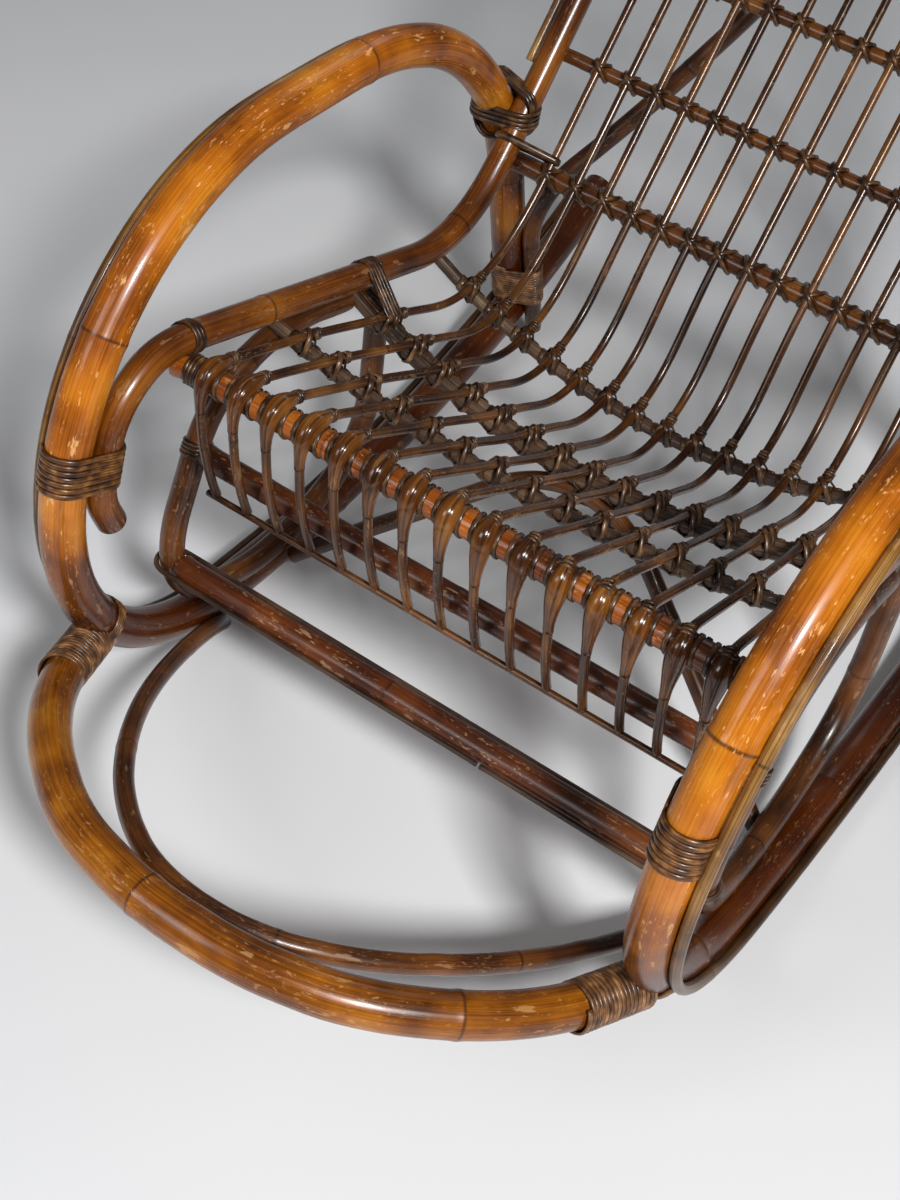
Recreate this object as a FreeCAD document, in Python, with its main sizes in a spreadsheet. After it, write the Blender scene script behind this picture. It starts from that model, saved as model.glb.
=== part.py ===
# A rattan rocking chair: bent poles lashed with cane, a slatted seat and back, a footrest loop.
# Units are millimetres. +Z is up, the chair faces -Y and -X is its right-hand side as one sits.
# The origin is on the floor, midway between the two points where the rockers rest.

import FreeCAD
import Part
import math
import os

Vector = FreeCAD.Vector
doc = FreeCAD.newDocument("RattanRockingChair")

# Driving dimensions, one cell each

SIZES = {
    # room left between pieces that touch, and between a lashing and what it binds
    "clearance": 0.3,
    "lashing_slack": 0.9,
    # side loops: armrest, front bend and rocker in one thick pole
    "loop_diameter": 38,
    "arm_offset": 12,
    "front_reach": 322,
    "rocker_radius": 1400,
    "rocker_rear_reach": 600,
    "front_bend_radius": 223,
    "arm_height": 518,
    "arm_front_radius": 268,
    "arm_rear_radius": 325,
    "rear_leg_reach": 418,
    # split cane beside the loops and the back posts
    "strip_diameter": 9,
    "strip_start_turn": 30,
    "post_strip_start": 185,
    "post_strip_end": 610,
    # frame poles: seat sides, back posts and top of the back
    "frame_diameter": 26,
    "slat_to_frame": 32,
    "seat_slope": 14,
    "seat_length": 420,
    "back_slope": 51.7,
    "back_length": 735,
    "seat_back_radius": 130,
    "top_corner_radius": 110,
    "seat_front_radius": 75,
    "frame_curl_drop": 38,
    "frame_end_drop": 30,
    "frame_end_set_back": 17,
    "frame_end_radius": 60,
    "front_lash_height": 315,
    # cross rails of the seat and back
    "front_rail_diameter": 24,
    "front_rail_reach": 190,
    "front_rail_height": 352,
    "seat_rail_diameter": 13,
    "second_rail_place": 125,
    "second_rail_sag": 30,
    "wide_rail_place": 252,
    "wide_rail_sag": 58,
    "fourth_rail_turn": 20,
    "fourth_rail_sag": 76,
    "lumbar_rail_diameter": 20,
    "lumbar_rail_place": 95,
    "back_rail_bow": 16,
    "back_rail_diameter": 14,
    "back_rail_pitch": 112,
    "back_rail_count": 4,
    "top_rail_diameter": 18,
    # slats
    "slat_count": 15,
    "slat_diameter": 8,
    "slat_seat_spacing": 34,
    "slat_back_spacing": 32,
    "slat_top_overhang": 16,
    "end_rod_diameter": 6,
    "end_rod_set_back": 8,
    "end_rod_drop": 130,
    # side braces under the arms and the two front bars between them
    "brace_diameter": 23,
    "brace_offset": 6,
    "brace_top_end": 237,
    "brace_top_start": 192,
    "brace_bottom_reach": 62,
    "brace_rear_reach": 96,
    "brace_rear_height": 160,
    "upper_bar_diameter": 22,
    "upper_bar_behind_rod": 16,
    "upper_bar_over_rod": 22,
    "lower_bar_diameter": 24,
    "lower_bar_ahead": 30,
    "lower_bar_drop": 112,
    "edge_strip_diameter": 5,
    "edge_strip_joint": 70,
    "edge_strip_joint_gap": 3,
    # footrest loop, which rises to the front, and the thinner loop inside it
    "footrest_diameter": 36,
    "footrest_tilt": 18.5,
    "footrest_seat_angle": 221.6,
    "footrest_lean": 12,
    "footrest_depth": 254,
    "footrest_shoulder_half_width": 160,
    "footrest_shoulder_depth": 204,
    "footrest_end_run": 104,
    "inner_loop_diameter": 17,
    "inner_loop_end_reach": 158,
    "inner_loop_end_height": 28,
    "inner_loop_shoulder_half_width": 150,
    "inner_loop_shoulder_depth": 260,
    # rear and under-seat arches
    "rear_arch_diameter": 19,
    "rear_arch_foot": 25,
    "rear_arch_straight": 120,
    "rear_arch_haunch_half_width": 189,
    "rear_arch_haunch_height": 385,
    "rear_arch_lean": 32,
    "seat_arch_diameter": 17,
    "seat_arch_foot_reach": 30,
    "seat_arch_foot_height": 28,
    "seat_arch_haunch_half_width": 84,
    "seat_arch_haunch_drop": 34,
    # cane lashings: turns and cane
    "lashing_cane_diameter": 3.2,
    "lashing_pitch": 3.8,
    "arm_lashing_turns": 9,
    "leg_lashing_turns": 14,
    "leg_lashing_start": 28,
    "crest_lashing_turns": 11,
    "inner_cross_turns": 2,
    "outer_cross_turns": 4,
    "cross_lashing_slack": 1.8,
    "foot_lashing_cane_diameter": 2.2,
    "foot_lashing_pitch": 2.7,
    "foot_lashing_turns": 12,
    "foot_lashing_start": 68,
}

sheet = doc.addObject("Spreadsheet::Sheet", "Sizes")
for row, (alias, value) in enumerate(SIZES.items(), start=1):
    sheet.set(f"A{row}", alias)
    sheet.set(f"B{row}", str(value))
    sheet.setAlias(f"B{row}", alias)
doc.recompute()


def size(alias):
    return float(getattr(sheet, alias))


def radius(alias):
    return size(alias) / 2


GAP = size("clearance")
SIDES = {"left": 1, "right": -1}

# Paths made of straight runs and tangent arcs


def arc_from(start, tangent, end):
    """One edge that leaves start along tangent and ends at end: an arc, or a line where they agree."""
    chord = end - start
    across = chord - tangent * chord.dot(tangent)
    if across.Length < 1e-4 * chord.Length:
        return Part.LineSegment(start, end).toShape()
    toward = across / across.Length
    bend = chord.dot(chord) / (2 * chord.dot(toward))
    centre = start + toward * bend
    middle = start + chord / 2
    inward = centre - middle
    if inward.Length < 1e-6 * bend:
        inward = -tangent
    crown = centre - inward / inward.Length * bend
    if chord.dot(tangent) < 0:
        crown = centre + inward / inward.Length * bend
    return Part.Arc(start, crown, end).toShape()


def biarc(start, start_tangent, end, end_tangent):
    """Two arcs that join two points with the given directions."""
    chord = end - start
    both = start_tangent + end_tangent
    open_turn = 1 - start_tangent.dot(end_tangent)
    along = chord.dot(both)
    if open_turn < 1e-9:
        reach = chord.dot(chord) / (4 * chord.dot(end_tangent))
    else:
        reach = (math.sqrt(along ** 2 + 2 * open_turn * chord.dot(chord)) - along) / (2 * open_turn)
    joint = (start + start_tangent * reach + end - end_tangent * reach) / 2
    first = arc_from(start, start_tangent, joint)
    second = arc_from(end, -end_tangent, joint)
    second = Part.Arc(joint, second.valueAt(middle_parameter(second)), end).toShape() \
        if second.Curve.TypeId == "Part::GeomCircle" else Part.LineSegment(joint, end).toShape()
    return [first, second]


def middle_parameter(edge):
    return (edge.FirstParameter + edge.LastParameter) / 2


def smooth_path(points, tangents):
    """Edges through every point, each taken in its own direction."""
    units = [tangent / tangent.Length for tangent in tangents]
    edges = []
    for index in range(len(points) - 1):
        edges += biarc(points[index], units[index], points[index + 1], units[index + 1])
    return edges


def bent_path(corners, bends):
    """Straight runs through the corners, with each inner corner rounded to its bend radius."""
    edges = []
    start = corners[0]
    for before, corner, after, bend in zip(corners, corners[1:], corners[2:], bends):
        arrive = (corner - before) / (corner - before).Length
        leave = (after - corner) / (after - corner).Length
        turn = math.acos(max(-1, min(1, arrive.dot(leave))))
        setback = bend * math.tan(turn / 2)
        enter = corner - arrive * setback
        depart = corner + leave * setback
        edges.append(Part.LineSegment(start, enter).toShape())
        edges.append(arc_from(enter, arrive, depart))
        start = depart
    edges.append(Part.LineSegment(start, corners[-1]).toShape())
    return edges


# Pieces

poles = []


def pole(label, edges, diameter):
    """Note a round pole: its name, its centre line and the name of its diameter."""
    poles.append((label, edges, diameter))


def mirrored_edges(edges, side):
    """The edges as given for the left side, or mirrored in the chair's middle plane."""
    if side > 0:
        return edges
    return [mirror_edge(edge) for edge in edges]


def mirror_point(point):
    return Vector(-point.x, point.y, point.z)


def mirror_edge(edge):
    begin = mirror_point(edge.valueAt(edge.FirstParameter))
    end = mirror_point(edge.valueAt(edge.LastParameter))
    if edge.Curve.TypeId == "Part::GeomCircle":
        return Part.Arc(begin, mirror_point(edge.valueAt(middle_parameter(edge))), end).toShape()
    return Part.LineSegment(begin, end).toShape()


def pair(label, edges, diameter):
    """The same pole on both sides of the chair."""
    for name, side in SIDES.items():
        pole(f"{label}_{name}", mirrored_edges(edges, side), diameter)


def across_line(centre, half):
    """A straight run across the chair, level with a point and centred on its middle plane."""
    middle = Vector(0, centre.y, centre.z)
    return [Part.LineSegment(middle - ACROSS * half, middle + ACROSS * half).toShape()]


# Seat and back lines, seen from the side

SEAT_DIP = math.radians(size("seat_slope"))
BACK_RISE = math.radians(size("back_slope"))
SEAT_ALONG = Vector(0, math.cos(SEAT_DIP), -math.sin(SEAT_DIP))
SEAT_UP = Vector(0, math.sin(SEAT_DIP), math.cos(SEAT_DIP))
BACK_ALONG = Vector(0, math.cos(BACK_RISE), math.sin(BACK_RISE))
BACK_BEHIND = Vector(0, math.sin(BACK_RISE), -math.cos(BACK_RISE))
ACROSS = Vector(1, 0, 0)

frame_radius = radius("frame_diameter")
middle_slat = (int(size("slat_count")) + 1) / 2
frame_half_width = (middle_slat - 1) * size("slat_seat_spacing") + size("slat_to_frame")
front_rail_centre = Vector(0, -size("front_rail_reach"), size("front_rail_height"))
seat_start = front_rail_centre + SEAT_UP * (radius("front_rail_diameter") + frame_radius + GAP)
seat_corner = seat_start + SEAT_ALONG * size("seat_length")


def seat_place(distance):
    """A point on the seat sides' centre line, in the chair's middle plane."""
    return seat_start + SEAT_ALONG * distance


def back_place(distance):
    return seat_corner + BACK_ALONG * distance


# Side loops: their line is flat, in a plane turned out a little towards the rear

loop_radius = radius("loop_diameter")
rocker_height = loop_radius + size("rocker_radius")
bend_radius = size("front_bend_radius")
bend_run = size("front_reach") - bend_radius
bend_height = rocker_height - math.sqrt((size("rocker_radius") - bend_radius) ** 2 - bend_run ** 2)

leg_turn = math.asin(size("rear_leg_reach") / size("rocker_radius"))
leg_seat = (size("rear_leg_reach"), rocker_height - size("rocker_radius") * math.cos(leg_turn))
leg_up = (-math.sin(leg_turn), math.cos(leg_turn))
leg_run = (size("arm_height") - leg_seat[1]) / leg_up[1]
leg_top = (leg_seat[0] + leg_up[0] * leg_run, size("arm_height"))

# one wide bend joins the leg to the level arm; the back post's line meets it, seen from the side
rear_radius = size("arm_rear_radius")
rear_turn = math.acos(-leg_up[0])
rear_centre = (leg_top[0] - rear_radius * math.tan(rear_turn / 2), size("arm_height") - rear_radius)
post_from = seat_corner - Vector(0, rear_centre[0], rear_centre[1])
post_toward = post_from.dot(BACK_ALONG)
post_run = math.sqrt(post_toward ** 2 - post_from.dot(post_from) + rear_radius ** 2) - post_toward
cross_place = back_place(post_run)

# the loops pass outside the back posts, where arm and post cross
loop_front_half_width = frame_half_width + size("arm_offset")
cross_half_width = frame_half_width + frame_radius + loop_radius + GAP
toe_out = math.asin((cross_half_width - loop_front_half_width)
                    / (size("front_reach") + cross_place.y))
loop_half_width = loop_front_half_width + size("front_reach") * math.sin(toe_out)


def loop_point(reach, height, outward=0.0):
    """A point of the left loop's plane, or beside it, from its distance behind the resting point."""
    return Vector(loop_half_width + reach * math.sin(toe_out) + outward * math.cos(toe_out),
                  reach * math.cos(toe_out) - outward * math.sin(toe_out), height)


def rocker_at(reach):
    """The height of the rocker's centre line, from the front bend to its rear end."""
    tangency = -bend_run * size("rocker_radius") / (size("rocker_radius") - bend_radius)
    if reach < tangency:
        return bend_height - math.sqrt(bend_radius ** 2 - (reach + bend_run) ** 2)
    return rocker_height - math.sqrt(size("rocker_radius") ** 2 - reach ** 2)


def rocker_edges(outward):
    """The front bend and the rocker, from the foot of the arm to the rear end."""
    tangency = -bend_run * size("rocker_radius") / (size("rocker_radius") - bend_radius)
    half_turn = math.pi + math.atan2(bend_height - rocker_at(tangency), bend_run + tangency) / 2
    if bend_run + tangency > 0:
        half_turn = math.pi + math.radians(45)
    start = loop_point(-size("front_reach"), bend_height, outward)
    middle = loop_point(-bend_run + bend_radius * math.cos(half_turn),
                        bend_height + bend_radius * math.sin(half_turn), outward)
    join = loop_point(tangency, rocker_at(tangency), outward)
    halfway = (tangency + size("rocker_rear_reach")) / 2
    under = loop_point(halfway, rocker_at(halfway), outward)
    rear = loop_point(size("rocker_rear_reach"), rocker_at(size("rocker_rear_reach")), outward)
    return [Part.Arc(start, middle, join).toShape(), Part.Arc(join, under, rear).toShape()]


def arm_edges(start, corners, bends, outward):
    points = [loop_point(reach, height, outward) for reach, height in [start] + corners]
    return bent_path(points, bends)


arm_front = (-size("front_reach"), size("arm_height"))
arm_foot = (-size("front_reach"), bend_height)
leg_end = (leg_seat[0] + leg_up[0] * (loop_radius + GAP), leg_seat[1] + leg_up[1] * (loop_radius + GAP))
pair("side_loop",
     arm_edges(leg_end, [leg_top, arm_front, arm_foot], [rear_radius, size("arm_front_radius")], 0)
     + rocker_edges(0), "loop_diameter")

# the strip lies over the arm's lashing, so it stands off by the cane's thickness
strip_offset = loop_radius + size("lashing_slack") + size("lashing_cane_diameter") + GAP \
    + radius("strip_diameter")
strip_turn = math.radians(size("strip_start_turn"))
strip_start = loop_point(rear_centre[0] + rear_radius * math.sin(strip_turn),
                         rear_centre[1] + rear_radius * math.cos(strip_turn), strip_offset)
strip_way = Vector(-math.sin(toe_out) * math.cos(strip_turn), -math.cos(toe_out) * math.cos(strip_turn),
                   math.sin(strip_turn))
level_start = (rear_centre[0], size("arm_height"))
pair("loop_strip",
     [arc_from(strip_start, strip_way, loop_point(*level_start, strip_offset))]
     + arm_edges(level_start, [arm_front, arm_foot], [size("arm_front_radius")], strip_offset)
     + rocker_edges(strip_offset), "strip_diameter")

# Frame poles: front curl, seat side, back post and half of the top

lash_rise = size("front_lash_height") - size("arm_height") + size("arm_front_radius")
lash_turn = math.asin(lash_rise / size("arm_front_radius"))
arm_at_lash = size("arm_front_radius") * (1 - math.cos(lash_turn)) - size("front_reach")
loop_at_lash = loop_point(arm_at_lash, size("front_lash_height"))
lash_aside = loop_at_lash.x - frame_half_width
lash_behind = math.sqrt((loop_radius + frame_radius + GAP) ** 2 - lash_aside ** 2)
frame_side = ACROSS * frame_half_width

# the curl runs beside the arm, parallel to it, up to the seat side's line
CURL_UP = Vector(0, math.sin(lash_turn), math.cos(lash_turn))
curl_hold = Vector(0, loop_at_lash.y, loop_at_lash.z) + Vector(0, CURL_UP.z, -CURL_UP.y) * lash_behind
to_seat = seat_start - curl_hold
curl_rise = (to_seat.y * SEAT_ALONG.z - to_seat.z * SEAT_ALONG.y) \
    / (CURL_UP.y * SEAT_ALONG.z - CURL_UP.z * SEAT_ALONG.y)
front_corner = curl_hold + CURL_UP * curl_rise + frame_side
curl_bend = curl_hold - CURL_UP * size("frame_curl_drop") + frame_side
curl_end = curl_bend + Vector(0, size("frame_end_set_back"), -size("frame_end_drop"))
top_centre = back_place(size("back_length"))
pair("frame_pole",
     bent_path([curl_end, curl_bend, front_corner, seat_corner + frame_side, top_centre + frame_side,
                top_centre + ACROSS * (GAP / 2)],
               [size("frame_end_radius"), size("seat_front_radius"), size("seat_back_radius"),
                size("top_corner_radius")]), "frame_diameter")
post_strip_side = frame_side + ACROSS * (frame_radius + GAP + radius("strip_diameter"))
pair("post_strip",
     [Part.LineSegment(back_place(size("post_strip_start")) + post_strip_side,
                       back_place(size("post_strip_end")) + post_strip_side).toShape()],
     "strip_diameter")

# Cross rails: each lies under or behind the frame poles, and some sag in the middle


class Rail:
    """A cross rail: where its ends meet the frame poles, which way it sags and how far."""

    def __init__(self, side_place, away, diameter, sag, spacing):
        self.thickness = radius(diameter)
        self.diameter = diameter
        self.away = away
        self.spacing = spacing
        self.reach = frame_half_width
        self.arc = (self.reach ** 2 + sag ** 2) / (2 * sag) if sag else None
        lean = math.asin(self.reach / self.arc) if sag else 0.0
        self.end = side_place + away * ((frame_radius + self.thickness + GAP) / math.cos(lean))
        self.sag = sag

    def centre(self, across):
        """The rail's centre line at a distance from the chair's middle."""
        if not self.sag:
            return self.end + ACROSS * across
        drop = math.sqrt(self.arc ** 2 - across ** 2) - (self.arc - self.sag)
        return self.end + self.away * drop + ACROSS * across

    def lift(self, across):
        """How far a slat's centre stands off the rail's centre there."""
        lean = math.asin(across / self.arc) if self.sag else 0.0
        return (self.thickness + radius("slat_diameter") + GAP) / math.cos(lean)

    def edges(self, shift=Vector(0, 0, 0)):
        overhang = self.reach + frame_radius / 2
        left = self.centre(overhang) + shift
        right = self.centre(-overhang) + shift
        if not self.sag:
            return [Part.LineSegment(left, right).toShape()]
        return [Part.Arc(left, self.centre(0) + shift, right).toShape()]


seat_spacing = size("slat_seat_spacing")
back_spacing = size("slat_back_spacing")
bend_setback = size("seat_back_radius") * math.tan((SEAT_DIP + BACK_RISE) / 2)
bend_start = seat_place(size("seat_length") - bend_setback)
bend_centre = bend_start + SEAT_UP * size("seat_back_radius")
fourth_lean = math.radians(size("fourth_rail_turn")) - SEAT_DIP
fourth_away = Vector(0, math.sin(fourth_lean), -math.cos(fourth_lean))

front_rail = Rail(seat_place(0), SEAT_UP * -1, "front_rail_diameter", 0, seat_spacing)
second_rail = Rail(seat_place(size("second_rail_place")), SEAT_UP * -1, "seat_rail_diameter",
                   size("second_rail_sag"), seat_spacing)
wide_rail = Rail(seat_place(size("wide_rail_place")), SEAT_UP * -1, "seat_rail_diameter",
                 size("wide_rail_sag"), (2 * seat_spacing + back_spacing) / 3)
fourth_rail = Rail(bend_centre + fourth_away * size("seat_back_radius"), fourth_away,
                   "seat_rail_diameter", size("fourth_rail_sag"), (seat_spacing + 2 * back_spacing) / 3)
back_bow = size("back_rail_bow")
lumbar_rail = Rail(back_place(size("lumbar_rail_place")), BACK_BEHIND, "lumbar_rail_diameter", back_bow,
                   back_spacing)
back_rails = [Rail(back_place(size("lumbar_rail_place") + size("back_rail_pitch") * (index + 1)),
                   BACK_BEHIND, "back_rail_diameter", back_bow, back_spacing)
              for index in range(int(size("back_rail_count")))]
top_rail = Rail(back_place(size("lumbar_rail_place") + size("back_rail_pitch") * (len(back_rails) + 1)),
                BACK_BEHIND, "top_rail_diameter", back_bow, back_spacing)

rail_names = {"front_seat_rail": front_rail, "second_seat_rail": second_rail,
              "fourth_seat_rail": fourth_rail, "lumbar_rail": lumbar_rail, "top_back_rail": top_rail}
for index, rail in enumerate(back_rails, start=1):
    rail_names[f"back_rail_{index}"] = rail
for name, rail in rail_names.items():
    pole(name, rail.edges(), rail.diameter)

# the wide seat rail is two rods side by side
rod_apart = SEAT_ALONG * ((size("seat_rail_diameter") + GAP) / 2)
for name, sign in (("front", -1), ("rear", 1)):
    pole(f"wide_rail_{name}_rod", wide_rail.edges(rod_apart * sign), "seat_rail_diameter")

# Slats: each rises from the end rod, wraps the front rail, follows the dished seat and runs up the back

slat_radius = radius("slat_diameter")
rod_centre = front_rail_centre + Vector(0, size("end_rod_set_back"), -size("end_rod_drop"))


def slat_edges(place):
    """The centre line of the slat that is that many spacings from the middle."""
    dished = [second_rail, wide_rail, fourth_rail, lumbar_rail]
    centres = [front_rail.centre(place * front_rail.spacing)]
    centres += [rail.centre(place * rail.spacing) for rail in dished]
    points = []
    tangents = []
    for index, rail in enumerate(dished):
        if rail is lumbar_rail:
            tangent = Vector(BACK_ALONG)
        else:
            tangent = centres[index + 2] - centres[index]
        normal = Vector(0, -tangent.z, tangent.y)
        normal = normal / normal.Length
        points.append(centres[index + 1] + normal * rail.lift(place * rail.spacing))
        tangents.append(tangent)
    leave = Vector(0, tangents[0].y, tangents[0].z)
    leave = Vector(0, points[0].y - centres[0].y, points[0].z - centres[0].z - front_rail.lift(0)) + leave
    leave = leave / leave.Length
    over = centres[0] + Vector(0, -leave.z, leave.y) * front_rail.lift(0)
    face = centres[0] - Vector(0, front_rail.lift(0), 0)
    foot = rod_centre + Vector(place * seat_spacing, 0, radius("end_rod_diameter") + GAP)
    rise = (face - foot) / (face - foot).Length
    up = Vector(0, 0, 1)
    foot_tangent = rise * (2 * rise.dot(up)) - up
    top = points[-1] + BACK_ALONG * (size("back_rail_pitch") * (len(back_rails) + 1)
                                     + size("slat_top_overhang"))
    edges = smooth_path([foot, face, over] + points, [foot_tangent, up, leave] + tangents)
    return edges + [Part.LineSegment(points[-1], top).toShape()]


for number in range(1, int(size("slat_count")) + 1):
    pole(f"slat_{number:02d}", slat_edges(number - middle_slat), "slat_diameter")
rod_half = (middle_slat - 0.7) * seat_spacing
pole("slat_end_rod", across_line(rod_centre, rod_half), "end_rod_diameter")

# Side braces and the two front bars that run between them

brace_radius = radius("brace_diameter")
brace_half_width = frame_half_width + size("brace_offset")
brace_aside = brace_half_width - frame_half_width
brace_below = math.sqrt((brace_radius + frame_radius + GAP) ** 2 - brace_aside ** 2)
rocker_aside = loop_point(-size("brace_bottom_reach"), 0).x - brace_half_width
brace_over = math.sqrt((brace_radius + loop_radius + GAP) ** 2 - rocker_aside ** 2)
brace_side = ACROSS * brace_half_width
upper_bar = rod_centre + Vector(0, size("upper_bar_behind_rod"), size("upper_bar_over_rod"))
lower_bar = upper_bar - Vector(0, size("lower_bar_ahead"), size("lower_bar_drop"))
brace_points = [
    seat_place(size("brace_top_end")) - SEAT_UP * brace_below + brace_side,
    seat_place(size("brace_top_start")) - SEAT_UP * brace_below + brace_side,
    upper_bar + brace_side,
    lower_bar + brace_side,
    Vector(brace_half_width, -size("brace_bottom_reach"),
           rocker_at(-size("brace_bottom_reach")) + brace_over),
    Vector(brace_half_width, size("brace_rear_reach"), size("brace_rear_height")),
]
wide_end = wide_rail.centre(brace_half_width)
brace_end = Vector(brace_half_width, size("brace_rear_reach"),
                   wide_end.z - radius("seat_rail_diameter") - brace_radius)
brace_tangents = [SEAT_ALONG * -1, SEAT_ALONG * -1, Vector(0, -0.36, -0.93), Vector(0, 0.12, -0.99),
                  Vector(0, 1, 0), Vector(0, 0, 1)]
pair("side_brace",
     smooth_path(brace_points, brace_tangents)
     + [Part.LineSegment(brace_points[-1], brace_end).toShape()], "brace_diameter")

bar_half = brace_half_width - brace_radius - GAP
pole("upper_front_bar", across_line(upper_bar, bar_half), "upper_bar_diameter")
pole("lower_front_bar", across_line(lower_bar, bar_half), "lower_bar_diameter")

# one split cane lies along the lower bar's front and rear edges and round both braces; its ends
# meet on the rear edge
BRACE_DOWN = brace_tangents[3] / brace_tangents[3].Length
EDGE_BEHIND = BRACE_DOWN.cross(ACROSS)
edge_out = max(radius("lower_bar_diameter"), brace_radius) + radius("edge_strip_diameter") + 2 * GAP


def edge_point(across, behind):
    return lower_bar + ACROSS * across + EDGE_BEHIND * behind


edge_corners = [(brace_half_width, edge_out), (brace_half_width + edge_out, 0), (brace_half_width, -edge_out),
                (-brace_half_width, -edge_out), (-brace_half_width - edge_out, 0),
                (-brace_half_width, edge_out)]
edge_points = [edge_point(*corner) for corner in edge_corners]
joint_half = size("edge_strip_joint_gap") / 2
edge_start = edge_point(size("edge_strip_joint") + joint_half, edge_out)
edge_end = edge_point(size("edge_strip_joint") - joint_half, edge_out)
pole("lower_bar_strip",
     [Part.LineSegment(edge_start, edge_points[0]).toShape(),
      Part.Arc(edge_points[0], edge_points[1], edge_points[2]).toShape(),
      Part.LineSegment(edge_points[2], edge_points[3]).toShape(),
      Part.Arc(edge_points[3], edge_points[4], edge_points[5]).toShape(),
      Part.LineSegment(edge_points[5], edge_end).toShape()], "edge_strip_diameter")

# Footrest loop: its ends start on the lines of the side loops' front bends and are cut to fit round them

foot_tilt = math.radians(size("footrest_tilt"))
FOOT_AHEAD = Vector(0, -math.cos(foot_tilt), math.sin(foot_tilt))
FOOT_OVER = Vector(0, math.sin(foot_tilt), math.cos(foot_tilt))
seat_angle = math.radians(size("footrest_seat_angle"))
foot_base = loop_point(-bend_run + bend_radius * math.cos(seat_angle),
                       bend_height + bend_radius * math.sin(seat_angle))
foot_middle = Vector(0, foot_base.y, foot_base.z)


def foot_point(across, ahead):
    return foot_middle + ACROSS * across + FOOT_AHEAD * ahead


foot_lean = math.radians(size("footrest_lean"))
foot_inward = FOOT_AHEAD * math.cos(foot_lean) - ACROSS * math.sin(foot_lean)
foot_start = foot_point(foot_base.x, 0)
foot_run = foot_start + foot_inward * size("footrest_end_run")
shoulder = foot_point(size("footrest_shoulder_half_width"), size("footrest_shoulder_depth"))
shoulder_turn = FOOT_AHEAD * 0.62 - ACROSS * 0.78
half_loop = [Part.LineSegment(foot_start, foot_run).toShape()]
half_loop += smooth_path([foot_run, shoulder, foot_point(0, size("footrest_depth"))],
                         [foot_inward, shoulder_turn, ACROSS * -1])


def whole_loop(half):
    """The left half of a loop and its mirror image, from the left end to the right end."""
    other = [mirror_edge(edge) for edge in reversed(half)]
    turned = []
    for edge in other:
        begin = edge.valueAt(edge.LastParameter)
        end = edge.valueAt(edge.FirstParameter)
        if edge.Curve.TypeId == "Part::GeomCircle":
            turned.append(Part.Arc(begin, edge.valueAt(middle_parameter(edge)), end).toShape())
        else:
            turned.append(Part.LineSegment(begin, end).toShape())
    return half + turned


pole("footrest_loop", whole_loop(half_loop), "footrest_diameter")

# what is left of the footrest's line outside the side loops, for the balance
foot_outward = math.cos(seat_angle) * foot_inward.y + math.sin(seat_angle) * foot_inward.z
cope = math.sqrt((bend_radius * foot_outward) ** 2 + (bend_radius + loop_radius) ** 2 - bend_radius ** 2) \
    - bend_radius * foot_outward
clear_run = [Part.LineSegment(foot_start + foot_inward * cope, foot_run).toShape()]
clear_footrest = whole_loop(clear_run + half_loop[1:])

# the thinner loop starts beside the rockers and touches the footrest's front from inside
inner_radius = radius("inner_loop_diameter")
inner_seat = loop_point(-size("inner_loop_end_reach"), rocker_at(-size("inner_loop_end_reach")))
inner_low = Vector(0, inner_seat.y, size("inner_loop_end_height"))
inner_front = foot_point(0, size("footrest_depth") - radius("footrest_diameter") - inner_radius - GAP)
INNER_AHEAD = (inner_front - inner_low) / (inner_front - inner_low).Length
inner_aside = math.sqrt((loop_radius + inner_radius + GAP) ** 2 - (inner_seat.z - inner_low.z) ** 2)
inner_start = inner_low + ACROSS * (inner_seat.x - inner_aside)
inner_shoulder = inner_low + ACROSS * size("inner_loop_shoulder_half_width") \
    + INNER_AHEAD * size("inner_loop_shoulder_depth")
half_inner = smooth_path([inner_start, inner_shoulder, inner_front],
                         [INNER_AHEAD * 0.97 - ACROSS * 0.2, INNER_AHEAD * 0.8 - ACROSS * 0.6, ACROSS * -1])
pole("inner_foot_loop", whole_loop(half_inner), "inner_loop_diameter")

# Rear arch behind the back and arch under the seat

arch_radius = radius("rear_arch_diameter")


def leg_place(distance, inward=0.0):
    """A point along the left rear leg's line, measured up from the rocker, or inward beside it."""
    return loop_point(leg_seat[0] + leg_up[0] * distance, leg_seat[1] + leg_up[1] * distance, -inward)


arch_inward = loop_radius + arch_radius + GAP
held_rail = back_rails[2]
apex = held_rail.centre(0) + BACK_BEHIND * (held_rail.thickness + arch_radius + GAP)
arch_foot = leg_place(-size("rear_arch_foot"), arch_inward)
arch_bend = leg_place(size("rear_arch_straight"), arch_inward)
climb = (size("rear_arch_haunch_height") - arch_bend.z) / (apex.z - arch_bend.z)
haunch = Vector(size("rear_arch_haunch_half_width"), arch_bend.y + (apex.y - arch_bend.y) * climb,
                size("rear_arch_haunch_height"))
haunch_lean = math.radians(size("rear_arch_lean"))
haunch_rise = Vector(-math.tan(haunch_lean), (apex.y - arch_bend.y) / (apex.z - arch_bend.z), 1)
half_arch = [Part.LineSegment(arch_foot, arch_bend).toShape()]
half_arch += smooth_path([arch_bend, haunch, apex], [arch_bend - arch_foot, haunch_rise, ACROSS * -1])
pole("rear_arch", whole_loop(half_arch), "rear_arch_diameter")

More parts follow.
